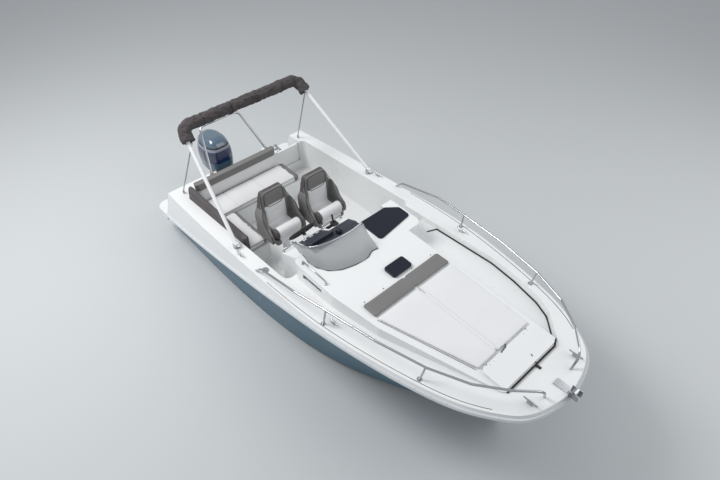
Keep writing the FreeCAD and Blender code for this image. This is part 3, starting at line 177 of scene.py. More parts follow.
class BoatColours(bpy.types.PropertyGroup):
    topside: shade("Topside", "Gelcoat of the hull sides", (0.016, 0.108, 0.172))
    bottom: shade("Bottom", "Paint below the chine", (0.50, 0.53, 0.55))
    deck: shade("Deck", "Gelcoat of the deck and liner", (0.80, 0.81, 0.81))
    grey_vinyl: shade("Grey vinyl", "Borders and bands of the seats", (0.185, 0.182, 0.178))
    white_vinyl: shade("White vinyl", "Panels of the seats and sun pads", (0.76, 0.765, 0.77))
    # The canvas colour also serves as painted shade: the grey vinyl as it looks in shade.
    canvas: shade("Canvas", "Boot of the folded sun top", (0.078, 0.068, 0.070))
    cowl: shade("Cowl", "Main paint of the engine cowl", (0.012, 0.022, 0.075))
    # Panel colour of the cowl: the grey-blue foot panel, and the crown above, where it is painted sky
    # highlight.
    cowl_panel_and_sheen: shade("Cowl panel", "Top and lower panels of the cowl", (0.075, 0.125, 0.175))
    moulding: shade("Moulding", "Dark dash and hatch mouldings", (0.030, 0.032, 0.048))


class BoatSizes(bpy.types.PropertyGroup):
    voxel: measure("Voxel", "Mesh size the cushions are inflated at", 0.011, min=0.004, max=0.03)
    cushion_swell: measure("Swell", "How far a cushion may swell", 0.012)
    piping: measure("Piping", "Radius of the piping round a cushion", 0.004)
    stitch_pitch: measure("Stitch pitch", "Distance between two stitches", 0.016)
    stitch_length: measure("Stitch length", "Length of one stitch", 0.009)
    screw_radius: measure("Screw radius", "Radius of a fixing screw's head", 0.0045)
    groove: measure("Groove", "Depth of a sewn channel", 0.008)
    groove_width: measure("Groove width", "Half width of a sewn channel", 0.016)


def sizes():
    return bpy.context.scene.boat_sizes


# Node trees

def add(tree, kind, values=(), sources=(), **settings):
    """Node with its settings, the values of its inputs and the sockets that its inputs are linked from."""
    made = tree.nodes.new(kind)
    for key, value in settings.items():
        setattr(made, key, value)
    for key, value in dict(values).items():
        made.inputs[key].default_value = value
    for key, source in dict(sources).items():
        tree.links.new(source, made.inputs[key])
    return made


def maths(tree, operation, *terms):
    """Result of a Math node on terms that are sockets or numbers."""
    made = tree.nodes.new("ShaderNodeMath")
    made.operation = operation
    for socket, term in zip(made.inputs, terms):
        if isinstance(term, float):
            socket.default_value = term
        else:
            tree.links.new(term, socket)
    return made.outputs[0]


def object_axis(tree, axis, space="Object"):
    """Output socket with the object coordinate, or the normal, along one axis."""
    place = tree.nodes.new("ShaderNodeTexCoord").outputs[space]
    return add(tree, "ShaderNodeSeparateXYZ", (), {"Vector": place}).outputs[axis]


def wave(tree, axis, pitch):
    return maths(tree, "SINE", maths(tree, "MULTIPLY", object_axis(tree, axis), pitch))


def shader_group(name, inputs, outputs):
    """Empty shader group with named sockets: (name, type, default) in, (name, type) out."""
    tree = bpy.data.node_groups.new(name, "ShaderNodeTree")
    for label, kind, default in inputs:
        socket = tree.interface.new_socket(label, in_out="INPUT", socket_type="NodeSocket" + kind)
        socket.default_value = default
    for label, kind in outputs:
        tree.interface.new_socket(label, in_out="OUTPUT", socket_type="NodeSocket" + kind)
    return tree, tree.nodes.new("NodeGroupInput"), tree.nodes.new("NodeGroupOutput")


def relief_group(name, pitch_name, pitch, depth):
    """Empty group that turns a height into a normal."""
    inputs = [(pitch_name, "Float", pitch), ("Depth", "Float", depth)]
    return shader_group(name, inputs, [("Normal", "Vector")])


def raised(tree, given, out, height, distance):
    """Links a height to a relief group's normal, as strong as the group's Depth."""
    bump = add(tree, "ShaderNodeBump", {"Distance": distance},
               {"Strength": given.outputs["Depth"], "Height": height})
    tree.links.new(bump.outputs["Normal"], out.inputs["Normal"])
    return tree


def drift_group():
    """Slow change of a colour over the surface, with its mask."""
    tree, given, out = shader_group(
        "Colour Drift", [("Color", "Color", (1, 1, 1, 1)), ("Drift", "Float", 0.1), ("Scale", "Float", 3.0)],
        [("Color", "Color"), ("Mask", "Float")])
    place = tree.nodes.new("ShaderNodeTexCoord").outputs["Object"]
    where = {"Vector": place, "Scale": given.outputs["Scale"]}
    cloud = add(tree, "ShaderNodeTexNoise", {"Detail": 6.0}, where)
    mask = add(tree, "ShaderNodeMapRange", {"From Min": 0.3, "From Max": 0.7},
               {"Value": cloud.outputs["Fac"]}).outputs["Result"]
    lighter = maths(tree, "SUBTRACT", 1.0, maths(tree, "MULTIPLY", mask, given.outputs["Drift"]))
    tone = add(tree, "ShaderNodeCombineColor", (), {channel: lighter for channel in ("Red", "Green", "Blue")})
    darker = add(tree, "ShaderNodeMix", {"Factor": 1.0},
                 {"A": given.outputs["Color"], "B": tone.outputs["Color"]},
                 data_type="RGBA", blend_type="MULTIPLY")
    tree.links.new(darker.outputs["Result"], out.inputs["Color"])
    tree.links.new(mask, out.inputs["Mask"])
    return tree


def grain_group():
    """Fine pebbled relief of moulded plastic or vinyl."""
    tree, given, out = relief_group("Pebble Grain", "Scale", 900.0, 0.2)
    place = tree.nodes.new("ShaderNodeTexCoord").outputs["Object"]
    where = {"Vector": place, "Scale": given.outputs["Scale"]}
    cells = add(tree, "ShaderNodeTexVoronoi", (), where, feature="SMOOTH_F1")
    cloud = add(tree, "ShaderNodeTexNoise", {"Detail": 3.0}, where)
    height = maths(tree, "ADD", cells.outputs["Distance"], cloud.outputs["Fac"])
    return raised(tree, given, out, height, GRAIN_RISE)


def weave_group():
    """Plain weave: two sets of threads crossing at right angles."""
    tree, given, out = relief_group("Plain Weave", "Threads", 700.0, 0.4)
    x, y, z = (wave(tree, axis, given.outputs["Threads"]) for axis in "XYZ")
    return raised(tree, given, out, maths(tree, "ADD", maths(tree, "MULTIPLY", x, y), z), WEAVE_RISE)


def tread_group():
    """Raised non-skid points, on the level floors alone: the walkway, the cockpit sole and the platforms."""
    tree, given, out = relief_group("Deck Tread", "Pitch", 420.0, 0.35)
    x, y = (wave(tree, axis, given.outputs["Pitch"]) for axis in "XY")
    level = maths(tree, "GREATER_THAN", object_axis(tree, "Z", "Normal"), TREAD_LEVEL)
    floor = maths(tree, "LESS_THAN", object_axis(tree, "Z"), TREAD_TOP)
    height = maths(tree, "MULTIPLY", maths(tree, "MULTIPLY", x, y), maths(tree, "MULTIPLY", level, floor))
    return raised(tree, given, out, height, TREAD_RISE)


GROUP_MAKERS = {"Colour Drift": drift_group, "Pebble Grain": grain_group, "Plain Weave": weave_group,
                "Deck Tread": tread_group}


def group_node(tree, name, values):
    group = bpy.data.node_groups.get(name) or GROUP_MAKERS[name]()
    return add(tree, "ShaderNodeGroup", values, node_tree=group)


# Materials

def base_material(name, colour, roughness, metallic=0.0, drift=0.06, drift_scale=2.5, coat=0.0):
    """Principled material whose colour and roughness wander a little over the surface."""
    material = bpy.data.materials.new(name)
    material.use_nodes = True
    tree = material.node_tree
    shader = tree.nodes["Principled BSDF"]
    shader.inputs["Metallic"].default_value = metallic
    shader.inputs["Coat Weight"].default_value = coat
    wander = group_node(tree, "Colour Drift", {"Color": (*colour, 1), "Drift": drift, "Scale": drift_scale})
    duller = min(1.0, roughness * 1.25 + 0.02)
    rough = add(tree, "ShaderNodeMapRange", {"To Min": roughness, "To Max": duller},
                {"Value": wander.outputs["Mask"]})
    tree.links.new(rough.outputs["Result"], shader.inputs["Roughness"])
    tree.links.new(wander.outputs["Color"], shader.inputs["Base Color"])
    return material


def textured(material, name, **values):
    """Material with one of the relief groups on its normal."""
    tree = material.node_tree
    group = group_node(tree, name, {key.title(): value for key, value in values.items()})
    tree.links.new(group.outputs["Normal"], tree.nodes["Principled BSDF"].inputs["Normal"])
    return material


def with_grain(material, scale, depth):
    return textured(material, "Pebble Grain", scale=scale, depth=depth)


def banded(material, value, stops):
    """Colours in steps along a value: a list of (start, colour) that goes in over the base colour."""
    tree = material.node_tree
    shader = tree.nodes["Principled BSDF"]
    source = shader.inputs["Base Color"].links[0].from_socket
    for start, colour in stops:
        past = maths(tree, "GREATER_THAN", value, start)
        mix = add(tree, "ShaderNodeMix", {"B": (*colour, 1)}, {"Factor": past, "A": source}, data_type="RGBA")
        source = mix.outputs["Result"]
    tree.links.new(source, shader.inputs["Base Color"])
    return material


def hull_material(colours):
    """Blue topsides over a pale bottom that meet at the chine, with a dark line between them."""
    material = base_material("Hull Gelcoat", colours.bottom, 0.24, drift=0.05, drift_scale=1.2)
    dulled(material, 0.2)
    tree = material.node_tree
    low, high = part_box("hull")
    share = add(tree, "ShaderNodeMapRange", {"From Min": low[0], "From Max": high[0]},
                {"Value": object_axis(tree, "X")})
    rise = add(tree, "ShaderNodeFloatCurve", (), {"Value": share.outputs["Result"]})
    points = rise.mapping.curves[0].points
    points[0].location = CHINE_RISE[0]
    points[1].location = CHINE_RISE[-1]
    for x, y in CHINE_RISE[1:-1]:
        points.new(x, y)
    rise.mapping.update()
    lift = maths(tree, "MULTIPLY_ADD", rise.outputs["Value"], -CHINE_SPAN, object_axis(tree, "Z"))
    return banded(material, lift, [(0.0, CHINE_LINE), (CHINE_LINE_WIDTH, tuple(colours.topside))])


def cowl_material(colours):
    """Navy cowl with a grey-blue foot panel and a black line; its grey-blue crown and pale band are painted
    sky highlight.
    """
    material = base_material("Cowl Paint", colours.cowl_panel_and_sheen, 0.14, drift=0.05, coat=0.9)
    low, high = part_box("engine_cowl")
    height = high[2] - low[2]
    up = object_axis(material.node_tree, "Z")
    # Painted sky highlight: the pale band and the crown in the panel colour; the navy and the black line are
    # paint.
    stops = [(0.38, tuple(colours.cowl)), (0.72, (0.26, 0.27, 0.34)), (0.79, (0.006, 0.006, 0.010)),
             (0.83, tuple(colours.cowl_panel_and_sheen))]
    return banded(material, up, [(low[2] + height * share, colour) for share, colour in stops])


def dulled(material, share):
    """Material that mirrors less of what is round it."""
    material.node_tree.nodes["Principled BSDF"].inputs["Specular IOR Level"].default_value = share
    return material


def tinted_material():
    """Pale grey acrylic of the windscreen."""
    material = base_material("Tinted Acrylic", (0.60, 0.61, 0.62), 0.03, drift=0.02)
    shader = material.node_tree.nodes["Principled BSDF"]
    shader.inputs["Transmission Weight"].default_value = 0.55
    shader.inputs["IOR"].default_value = 1.12
    return material


def make_materials(colours):
    """Every finish of the boat, by the name the pieces ask for."""
    gelcoat = base_material("Deck Gelcoat", colours.deck, 0.26, drift=0.025, coat=0.2)
    grey = base_material("Grey Vinyl", colours.grey_vinyl, 0.5, drift=0.10)
    white = base_material("White Vinyl", colours.white_vinyl, 0.45, drift=0.04)
    canvas = base_material("Boot Canvas", colours.canvas, 0.88, drift=0.22, drift_scale=7.0)
    # Painted shade: the grey vinyl darkened as it looks in shade, for the seats' shaded faces, in the canvas
    # colour.
    dark = base_material("Shaded Grey Vinyl", colours.canvas, 0.5, drift=0.15)
    moulding = base_material("Dark Moulding", colours.moulding, 0.38, drift=0.12)
    casting = base_material("Bracket Casting", (0.030, 0.034, 0.040), 0.42, drift=0.15)
    engine = base_material("Engine Casting", (0.16, 0.16, 0.16), 0.5, metallic=0.6, drift=0.25)
    plastic = base_material("Black Plastic", (0.012, 0.012, 0.013), 0.42, drift=0.1)
    acrylic = base_material("Dark Acrylic", (0.012, 0.014, 0.026), 0.16, drift=0.1)
    return {
        "hull": hull_material(colours),
        "deck": textured(gelcoat, "Deck Tread"),
        "rubber": base_material("Rub Rail Vinyl", (0.62, 0.65, 0.67), 0.4, drift=0.05),
        "grey_vinyl": with_grain(grey, 520.0, 0.30),
        "white_vinyl": with_grain(white, 520.0, 0.25),
        "canvas": textured(canvas, "Plain Weave", threads=1500.0, depth=0.5),
        "shaded_grey_vinyl": with_grain(dark, 520.0, 0.3),
        "stainless": base_material("Stainless Tube", (0.42, 0.43, 0.45), 0.16, metallic=1.0, drift=0.05,
                                   drift_scale=14.0),
        "white_tube": base_material("White Tube", (0.82, 0.83, 0.84), 0.25, drift=0.03, coat=0.5),
        "cowl": cowl_material(colours),
        "leg": base_material("Leg Paint", (0.055, 0.080, 0.105), 0.3, drift=0.12, coat=0.4),
        "bracket": with_grain(casting, 300.0, 0.25),
        "engine": with_grain(engine, 200.0, 0.4),
        "propeller": base_material("Propeller", (0.20, 0.21, 0.22), 0.28, metallic=1.0, drift=0.2,
                                   drift_scale=20.0),
        "moulding": with_grain(moulding, 420.0, 0.25),
        "dark_acrylic": dulled(acrylic, 0.25),
        "tinted": tinted_material(),
        "black": with_grain(plastic, 500.0, 0.2),
        "thread": base_material("Thread", (0.30, 0.30, 0.30), 0.8, drift=0.1),
        "seam": base_material("Seam Line", (0.008, 0.008, 0.010), 0.6, drift=0.1),
        "dial": base_material("Dial Face", (0.70, 0.71, 0.72), 0.5, drift=0.05),
    }


NODE_FINISHES = {
    "hull": ("hull",),
    "deck": ("cockpit_liner", "coachroof", "foredeck", "swim_platforms", "bench_base", "console",
             "transom_gate", "locker_lid"),
    "rubber": ("rub_rail",), "moulding": ("instrument_hood", "roof_hatch_frame"),
    "tinted": ("windscreen",),
    "stainless": ("windscreen_rail", "bow_rails", "deck_fittings", "bimini_struts", "bimini_mounts",
                  "tow_hoop", "gate_hinge", "swim_ladder", "ladder_bracket", "bow_roller"),
    "white_tube": ("seat_posts", "bimini_frame"), "black": ("steering_wheel", "throttle"),
    "bracket": ("engine_bracket", "engine_swivel"), "leg": ("engine_leg",), "cowl": ("engine_cowl",),
    "engine": ("engine_block",), "propeller": ("propeller",),
    "dark_acrylic": ("roof_hatch_lid", "entry_cover", "side_window"),
}

finishes = {}


# Mesh helpers

def linked(name, data):
    """Object at the origin, in the scene."""
    piece = bpy.data.objects.new(name, data)
    bpy.context.scene.collection.objects.link(piece)
    return piece


def placed(name, mesh, material, body=ROOT):
    """Finished mesh that rides on its body."""
    piece = linked(name, mesh)
    if not mesh.materials:
        mesh.materials.append(finishes[material])
    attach(piece, body)
    return piece


def mesh_of(piece):
    """Plain mesh of an object as its modifiers leave it."""
    graph = bpy.context.evaluated_depsgraph_get()
    return bpy.data.meshes.new_from_object(piece.evaluated_get(graph))


def tube_mesh(name, runs, radius, closed=False):
    """Round tube along one or more runs of points."""
    curve = bpy.data.curves.new(name, "CURVE")
    curve.dimensions = "3D"
    curve.bevel_depth = radius
    curve.bevel_resolution = 2
    curve.use_fill_caps = True
    for points in runs:
        line = curve.splines.new("POLY")
        line.points.add(len(points) - 1)
        for spot, point in zip(line.points, points):
            spot.co = (*point, 1)
        line.use_cyclic_u = closed
    carrier = linked(name + "_line", curve)
    mesh = mesh_of(carrier)
    bpy.data.objects.remove(carrier)
    for polygon in mesh.polygons:
        polygon.use_smooth = True
    return mesh


def laid_tube(name, runs, radius, material="seam", body=ROOT, closed=False):
    return placed(name, tube_mesh(name, runs, radius, closed), material, body)


def copied_solid(name, node, inset):
    """Copy of a node's mesh with each loose part drawn in by an inset on every side."""
    mesh = nodes[node].data.copy()
    mesh.materials.clear()
    work = bmesh.new()
    work.from_mesh(mesh)
    bmesh.ops.remove_doubles(work, verts=work.verts, dist=1e-5)
    left = set(work.verts)
    while left:
        part = []
        edge = [left.pop()]
        while edge:
            vert = edge.pop()
            part.append(vert)
            for other in (e.other_vert(vert) for e in vert.link_edges):
                if other in left:
                    left.remove(other)
                    edge.append(other)
        low = [min(v.co[i] for v in part) for i in range(3)]
        high = [max(v.co[i] for v in part) for i in range(3)]
        for vert in part:
            for i in range(3):
                middle = (low[i] + high[i]) / 2
                half = (high[i] - low[i]) / 2
                vert.co[i] = middle + (vert.co[i] - middle) * (1 - inset / half)
    bmesh.ops.recalc_face_normals(work, faces=work.faces)
    work.to_mesh(mesh)
    work.free()
    return linked(name, mesh)


def applied(piece, kind, **settings):
    """Puts a modifier on a piece and keeps its result as the piece's mesh."""
    change = piece.modifiers.new(kind.title(), kind)
    for key, value in settings.items():
        setattr(change, key, value)
    mesh = mesh_of(piece)
    piece.modifiers.clear()
    piece.data = mesh


def inflated(piece, swell):
    """Blows the piece up like a stuffed cover, no point moving further than the swell."""
    rest = [vert.co.copy() for vert in piece.data.vertices]
    cloth = piece.modifiers.new("Cloth", "CLOTH")
    cloth.settings.use_pressure = True
    cloth.settings.uniform_pressure_force = CLOTH_PRESSURE
    cloth.settings.effector_weights.gravity = 0.0
    cloth.settings.quality = 4
    for number in range(1, CLOTH_FRAMES + 1):
        bpy.context.scene.frame_set(number)
    puffed = mesh_of(piece)
    piece.modifiers.clear()
    bpy.context.scene.frame_set(1)
    for vert, start, end in zip(piece.data.vertices, rest, puffed.vertices):
        move = end.co - start
        if move.length > swell:
            move = move.normalized() * swell
        vert.co = start + move


def grooved(piece, seams, depth, width):
    """Presses sewn channels into the piece. A seam is (axis, place, low, high): low and high are corners."""
    for vert in piece.data.vertices:
        push = 0.0
        for axis, place, low, high in seams:
            if all(low[i] <= vert.co[i] <= high[i] for i in range(3)):
                away = abs(vert.co[axis] - place) / width
                if away < 1:
                    push = max(push, (1 - away) ** 2)
        if push:
            vert.co -= vert.normal * depth * push


def cushion(name, node, zone, body=ROOT, seams=(), swell=None):
    """Upholstered piece in the space of its solid, inflated, sewn and covered."""
    swell = swell or sizes().cushion_swell
    piece = copied_solid(name, node, swell * 0.8)
    applied(piece, "REMESH", mode="VOXEL", voxel_size=sizes().voxel)
    inflated(piece, swell)
    applied(piece, "SMOOTH", factor=0.5, iterations=3)
    grooved(piece, seams, sizes().groove, sizes().groove_width)
    mesh = piece.data
    mesh.materials.clear()
    # Slots: white vinyl, grey vinyl, and the grey vinyl darkened as painted shade.
    for key in ("white_vinyl", "grey_vinyl", "shaded_grey_vinyl"):
        mesh.materials.append(finishes[key])
    for polygon in mesh.polygons:
        polygon.use_smooth = True
        polygon.material_index = zone(polygon.center, polygon.normal)
    finer = piece.modifiers.new("Subdivision", "SUBSURF")
    finer.levels = 1
    finer.render_levels = 1
    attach(piece, body)
    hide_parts(node)
    return piece


def aimed(piece, place, aim):
    """Lamp or camera put at a place and turned to look along an aim."""
    piece.location = place
    piece.rotation_euler = aim.to_track_quat("-Z", "Y").to_euler()
    return piece


def skin_point(piece, point):
    """Nearest point on a piece's skin, and the skin's normal there."""
    found, place, normal, face = piece.closest_point_on_mesh(Vector(point))
    return place, normal


def piping(name, piece, run, body=ROOT, material="grey_vinyl", slot=None, closed=True, lift=0.3):
    """Welt along a cushion near a run of points, its centre off the skin by a share of its radius."""
    points = []
    for point in run:
        place, normal = skin_point(piece, point)
        points.append(place + normal * sizes().piping * lift)
    return laid_tube(name, [points], sizes().piping, material, body, closed)


def wall_hit(start, aim, names=DECK_NODES):
    """Nearest point of some nodes along a ray, with the skin's normal, or None."""
    start = Vector(start)
    best = None
    for name in names:
        found, place, normal, face = nodes[name].ray_cast(start, Vector(aim))
        if found and (best is None or (place - start).length < (best[0] - start).length):
            best = (place, normal)
    return best


def top_hit(x, y, names=DECK_NODES):
    """Highest point of some nodes under a place in plan, with the skin's normal, or None."""
    return wall_hit((x, y, OVERHEAD), (0, 0, -1), names)


def deck_edge(x, side):
    """How far the deck reaches to one side at a station."""
    inner, outer = 0.0, DECK_SEARCH
    for step in range(HALVINGS):
        middle = (inner + outer) / 2
        if top_hit(x, side * middle):
            inner = middle
        else:
            outer = middle
    return inner


def steps(start, end, pitch):
    """Evenly spaced values from start to end."""
    count = max(1, round(abs(end - start) / pitch))
    return [start + (end - start) * i / count for i in range(count + 1)]


def spread(run, pitch):
    """Points every pitch along a run, each with the direction of the run there."""
    spots = []
    left = 0.0
    for a, b in zip(run, run[1:]):
        span = (b - a).length
        while left < span:
            spots.append((a.lerp(b, left / span), (b - a).normalized()))
            left += pitch
        left -= span
    return spots


def oval(centre, across, up, square=0.5, count=36):
    """Rounded loop round a centre, reaching half vectors across and up."""
    points = []
    for i in range(count):
        angle = 2 * math.pi * i / count
        c, s = math.cos(angle), math.sin(angle)
        points.append(Vector(centre) + Vector(across) * math.copysign(abs(c) ** square, c)
                      + Vector(up) * math.copysign(abs(s) ** square, s))
    return points


def part_of(name, work):
    mesh = bpy.data.meshes.new(name)
    work.to_mesh(mesh)
    work.free()
    return bpy.data.objects.new(name, mesh)


def turned_part(name, profile, sides=20):
    """Part turned round its own Z from (radius, height) pairs, for copies to be made of."""
    work = bmesh.new()
    turns = [(math.cos(2 * math.pi * i / sides), math.sin(2 * math.pi * i / sides)) for i in range(sides)]
    rings = []
    for radius, height in profile:
        rings.append([work.verts.new((radius * c, radius * s, height)) for c, s in turns])
    for low, high in zip(rings, rings[1:]):
        for i in range(sides):
            work.faces.new((low[i], low[i - sides + 1], high[i - sides + 1], high[i]))
    work.faces.new(rings[-1])
    work.faces.new(rings[0][::-1])
    for face in work.faces:
        face.smooth = len(face.verts) == 4
    return part_of(name, work)


def block_part(name, length, width, height, edge):
    """Block with rounded edges that stands on its own origin, for copies to be made of."""
    work = bmesh.new()
    bmesh.ops.create_cube(work, size=1.0)
    for vert in work.verts:
        vert.co = Vector((vert.co.x * length, vert.co.y * width, (vert.co.z + 0.5) * height))
    bmesh.ops.bevel(work, geom=work.edges[:], offset=edge, segments=2, affect="EDGES")
    return part_of(name, work)


def parts_on_points_group():
    """Stands a copy of a part on every point, its Z along the point's aim, and paints them."""
    tree = bpy.data.node_groups.new("Parts On Points", "GeometryNodeTree")
    kinds = {"Geometry": "Geometry", "Part": "Object", "Size": "Float", "Material": "Material"}
    for label, kind in kinds.items():
        tree.interface.new_socket(label, in_out="INPUT", socket_type="NodeSocket" + kind)
    tree.interface.new_socket("Geometry", in_out="OUTPUT", socket_type="NodeSocketGeometry")
    given = tree.nodes.new("NodeGroupInput").outputs
    part = add(tree, "GeometryNodeObjectInfo", (), {"Object": given["Part"]})
    aim = add(tree, "GeometryNodeInputNamedAttribute", {"Name": "aim"}, data_type="FLOAT_VECTOR")
    turn = add(tree, "FunctionNodeAlignRotationToVector", (), {"Vector": aim.outputs["Attribute"]}, axis="Z")
    stand = add(tree, "GeometryNodeInstanceOnPoints", (),
                {"Points": given["Geometry"], "Instance": part.outputs["Geometry"],
                 "Rotation": turn.outputs["Rotation"], "Scale": given["Size"]})
    real = add(tree, "GeometryNodeRealizeInstances", (), {"Geometry": stand.outputs["Instances"]})
    paint = add(tree, "GeometryNodeSetMaterial", (),
                {"Geometry": real.outputs["Geometry"], "Material": given["Material"]})
    add(tree, "NodeGroupOutput", (), {"Geometry": paint.outputs["Geometry"]})
    return tree


def strewn(name, spots, part, material, body=ROOT, size=1.0):
    """Copies of a part at (place, aim) spots, kept as one plain mesh."""
    mesh = bpy.data.meshes.new(name + "_points")
    mesh.from_pydata([place for place, aim in spots], [], [])
    layer = mesh.attributes.new("aim", "FLOAT_VECTOR", "POINT")
    layer.data.foreach_set("vector", [value for place, aim in spots for value in aim])
    carrier = linked(name + "_carrier", mesh)
    maker = bpy.data.node_groups.get("Parts On Points") or parts_on_points_group()
    change = carrier.modifiers.new("Parts", "NODES")
    change.node_group = maker
    values = {"Part": part, "Size": size, "Material": finishes[material]}
    for item in maker.interface.items_tree:
        if item.in_out == "INPUT" and item.name in values:
            change[item.identifier] = values[item.name]
    result = mesh_of(carrier)
    bpy.data.objects.remove(carrier)
    return placed(name, result, material, body)


def stitched(name, piece, runs):
    """Rows of stitches on the skin of a cushion along runs of points."""
    half = sizes().stitch_length / 2
    thread = turned_part(name + "_stitch", [(THREAD_RADIUS, -half), (THREAD_RADIUS, half)], 6)
    spots = []
    for run in runs:
        for point, aim in spread([Vector(point) for point in run], sizes().stitch_pitch):
            place, normal = skin_point(piece, point)
            spots.append((place + normal * THREAD_LIFT, aim - normal * aim.dot(normal)))
    return strewn(name, spots, thread, "thread")


def row_along(low, high, y, margin, lift=0.0):
    """Row along the boat over a box, in from its ends by a margin."""
    return [(low[0] + margin, y, high[2] + lift), (high[0] - margin, y, high[2] + lift)]


def loop_round(low, high, corner, step=0.03):
    """Points round the top of a box, with rounded corners."""
    points = []
    centres = ((high[0] - corner, high[1] - corner, 0), (low[0] + corner, high[1] - corner, 90),
               (low[0] + corner, low[1] + corner, 180), (high[0] - corner, low[1] + corner, 270))
    for x, y, start in centres:
        for turn in range(0, 91, 15):
            angle = math.radians(start + turn)
            points.append(Vector((x + corner * math.cos(angle), y + corner * math.sin(angle), high[2])))
    filled = []
    for a, b in zip(points, points[1:] + points[:1]):
        count = max(1, int((b - a).length / step))
        filled += [a.lerp(b, i / count) for i in range(count)]
    return filled


# Operators

class BOAT_OT_finishes(bpy.types.Operator):
    """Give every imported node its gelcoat, metal, plastic or paint"""
    bl_idname = "boat.finishes"
    bl_label = "Finish Nodes"

    def execute(self, context):
        finishes.update(make_materials(context.scene.boat_colours))
        for key, names in NODE_FINISHES.items():
            for name in names:
                mesh = nodes[name].data
                mesh.materials.clear()
                mesh.materials.append(finishes[key])
        return {"FINISHED"}


class BOAT_OT_bench(bpy.types.Operator):
    """Sew the aft bench: seat, side seat and the two backrests"""
    bl_idname = "boat.bench"
    bl_label = "Aft Bench"

    def execute(self, context):
        lip, end_panel, corner, front_row, side_border = 0.02, 0.10, 0.03, 0.035, 0.07
        back_band, back_corner, seam_start, row_margin = 0.12, 0.035, 0.05, 0.03
        low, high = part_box("bench_cushion")
        front = high[0] - lip
        end = high[1] - end_panel

        def seat_zone(centre, normal):
            return 1 if centre.x > front and normal.x > 0.5 or centre.y > end else 0

        thirds = [low[1] + (end - low[1]) * share for share in (0.33, 0.66)]
        seat = cushion("BenchSeat", "bench_cushion", seat_zone,
                       seams=[(1, y, low, high) for y in thirds + [end]])
        piping("BenchSeatPiping", seat, loop_round(low, high, corner))
        rows = [row_along(low, high, y + side, ROW_END) for y in thirds for side in (-SEAM_ROW, SEAM_ROW)]
        edge = high[0] - front_row
        rows.append([(edge, low[1] + ROW_END, high[2]), (edge, end, high[2])])
        stitched("BenchSeatStitches", seat, rows)
        low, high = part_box("side_cushion")
        border = high[1] - side_border

        def side_zone(centre, normal):
            return 1 if centre.y > border else 0

        across = ((low[0] + high[0]) / 2, low, (high[0], border, high[2]))
        side = cushion("SideSeat", "side_cushion", side_zone,
                       seams=[(0, *across), (1, border, low, high)])
        piping("SideSeatPiping", side, loop_round(low, high, corner))
        stitched("SideSeatStitches", side, [row_along(low, high, border - BORDER_ROW, ROW_END)])
        low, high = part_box("bench_backrest")
        band = high[2] - back_band

        def back_zone(centre, normal):
            return 1 if centre.z > band or normal.x < -0.5 else 0

        fifths = [low[1] + (high[1] - low[1]) * share for share in (0.2, 0.4, 0.6, 0.8)]
        ahead = (low[0] + seam_start, low[1], low[2])
        below = (high[0], high[1], band)
        back = cushion("BenchBackrest", "bench_backrest", back_zone,
                       seams=[(2, band, low, high)] + [(1, y, ahead, below) for y in fifths])
        piping("BenchBackrestPiping", back, loop_round(low, high, back_corner))
        stitched("BenchBackrestStitches", back,
                 [[(high[0], low[1] + row_margin, band + rise), (high[0], high[1] - row_margin, band + rise)]
                  for rise in (-BORDER_ROW, BORDER_ROW)])
        low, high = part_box("side_backrest")
        # The whole side backrest is painted shade: grey vinyl darkened as on its shaded outer side.
        cover = cushion("SideBackrest", "side_backrest", lambda centre, normal: 2)
        for vert in cover.data.vertices:
            fold = noise.noise(Vector((vert.co.x * 9 + vert.co.z * 6, vert.co.y * 4, vert.co.z * 5)))
            vert.co -= vert.normal * (COVER_FOLD + fold * COVER_FOLD)
        middle = (low[1] + high[1]) / 2
        stitched("SideBackrestStitches", cover, [row_along(low, high, middle, row_margin, ROW_LIFT)])
        return {"FINISHED"}


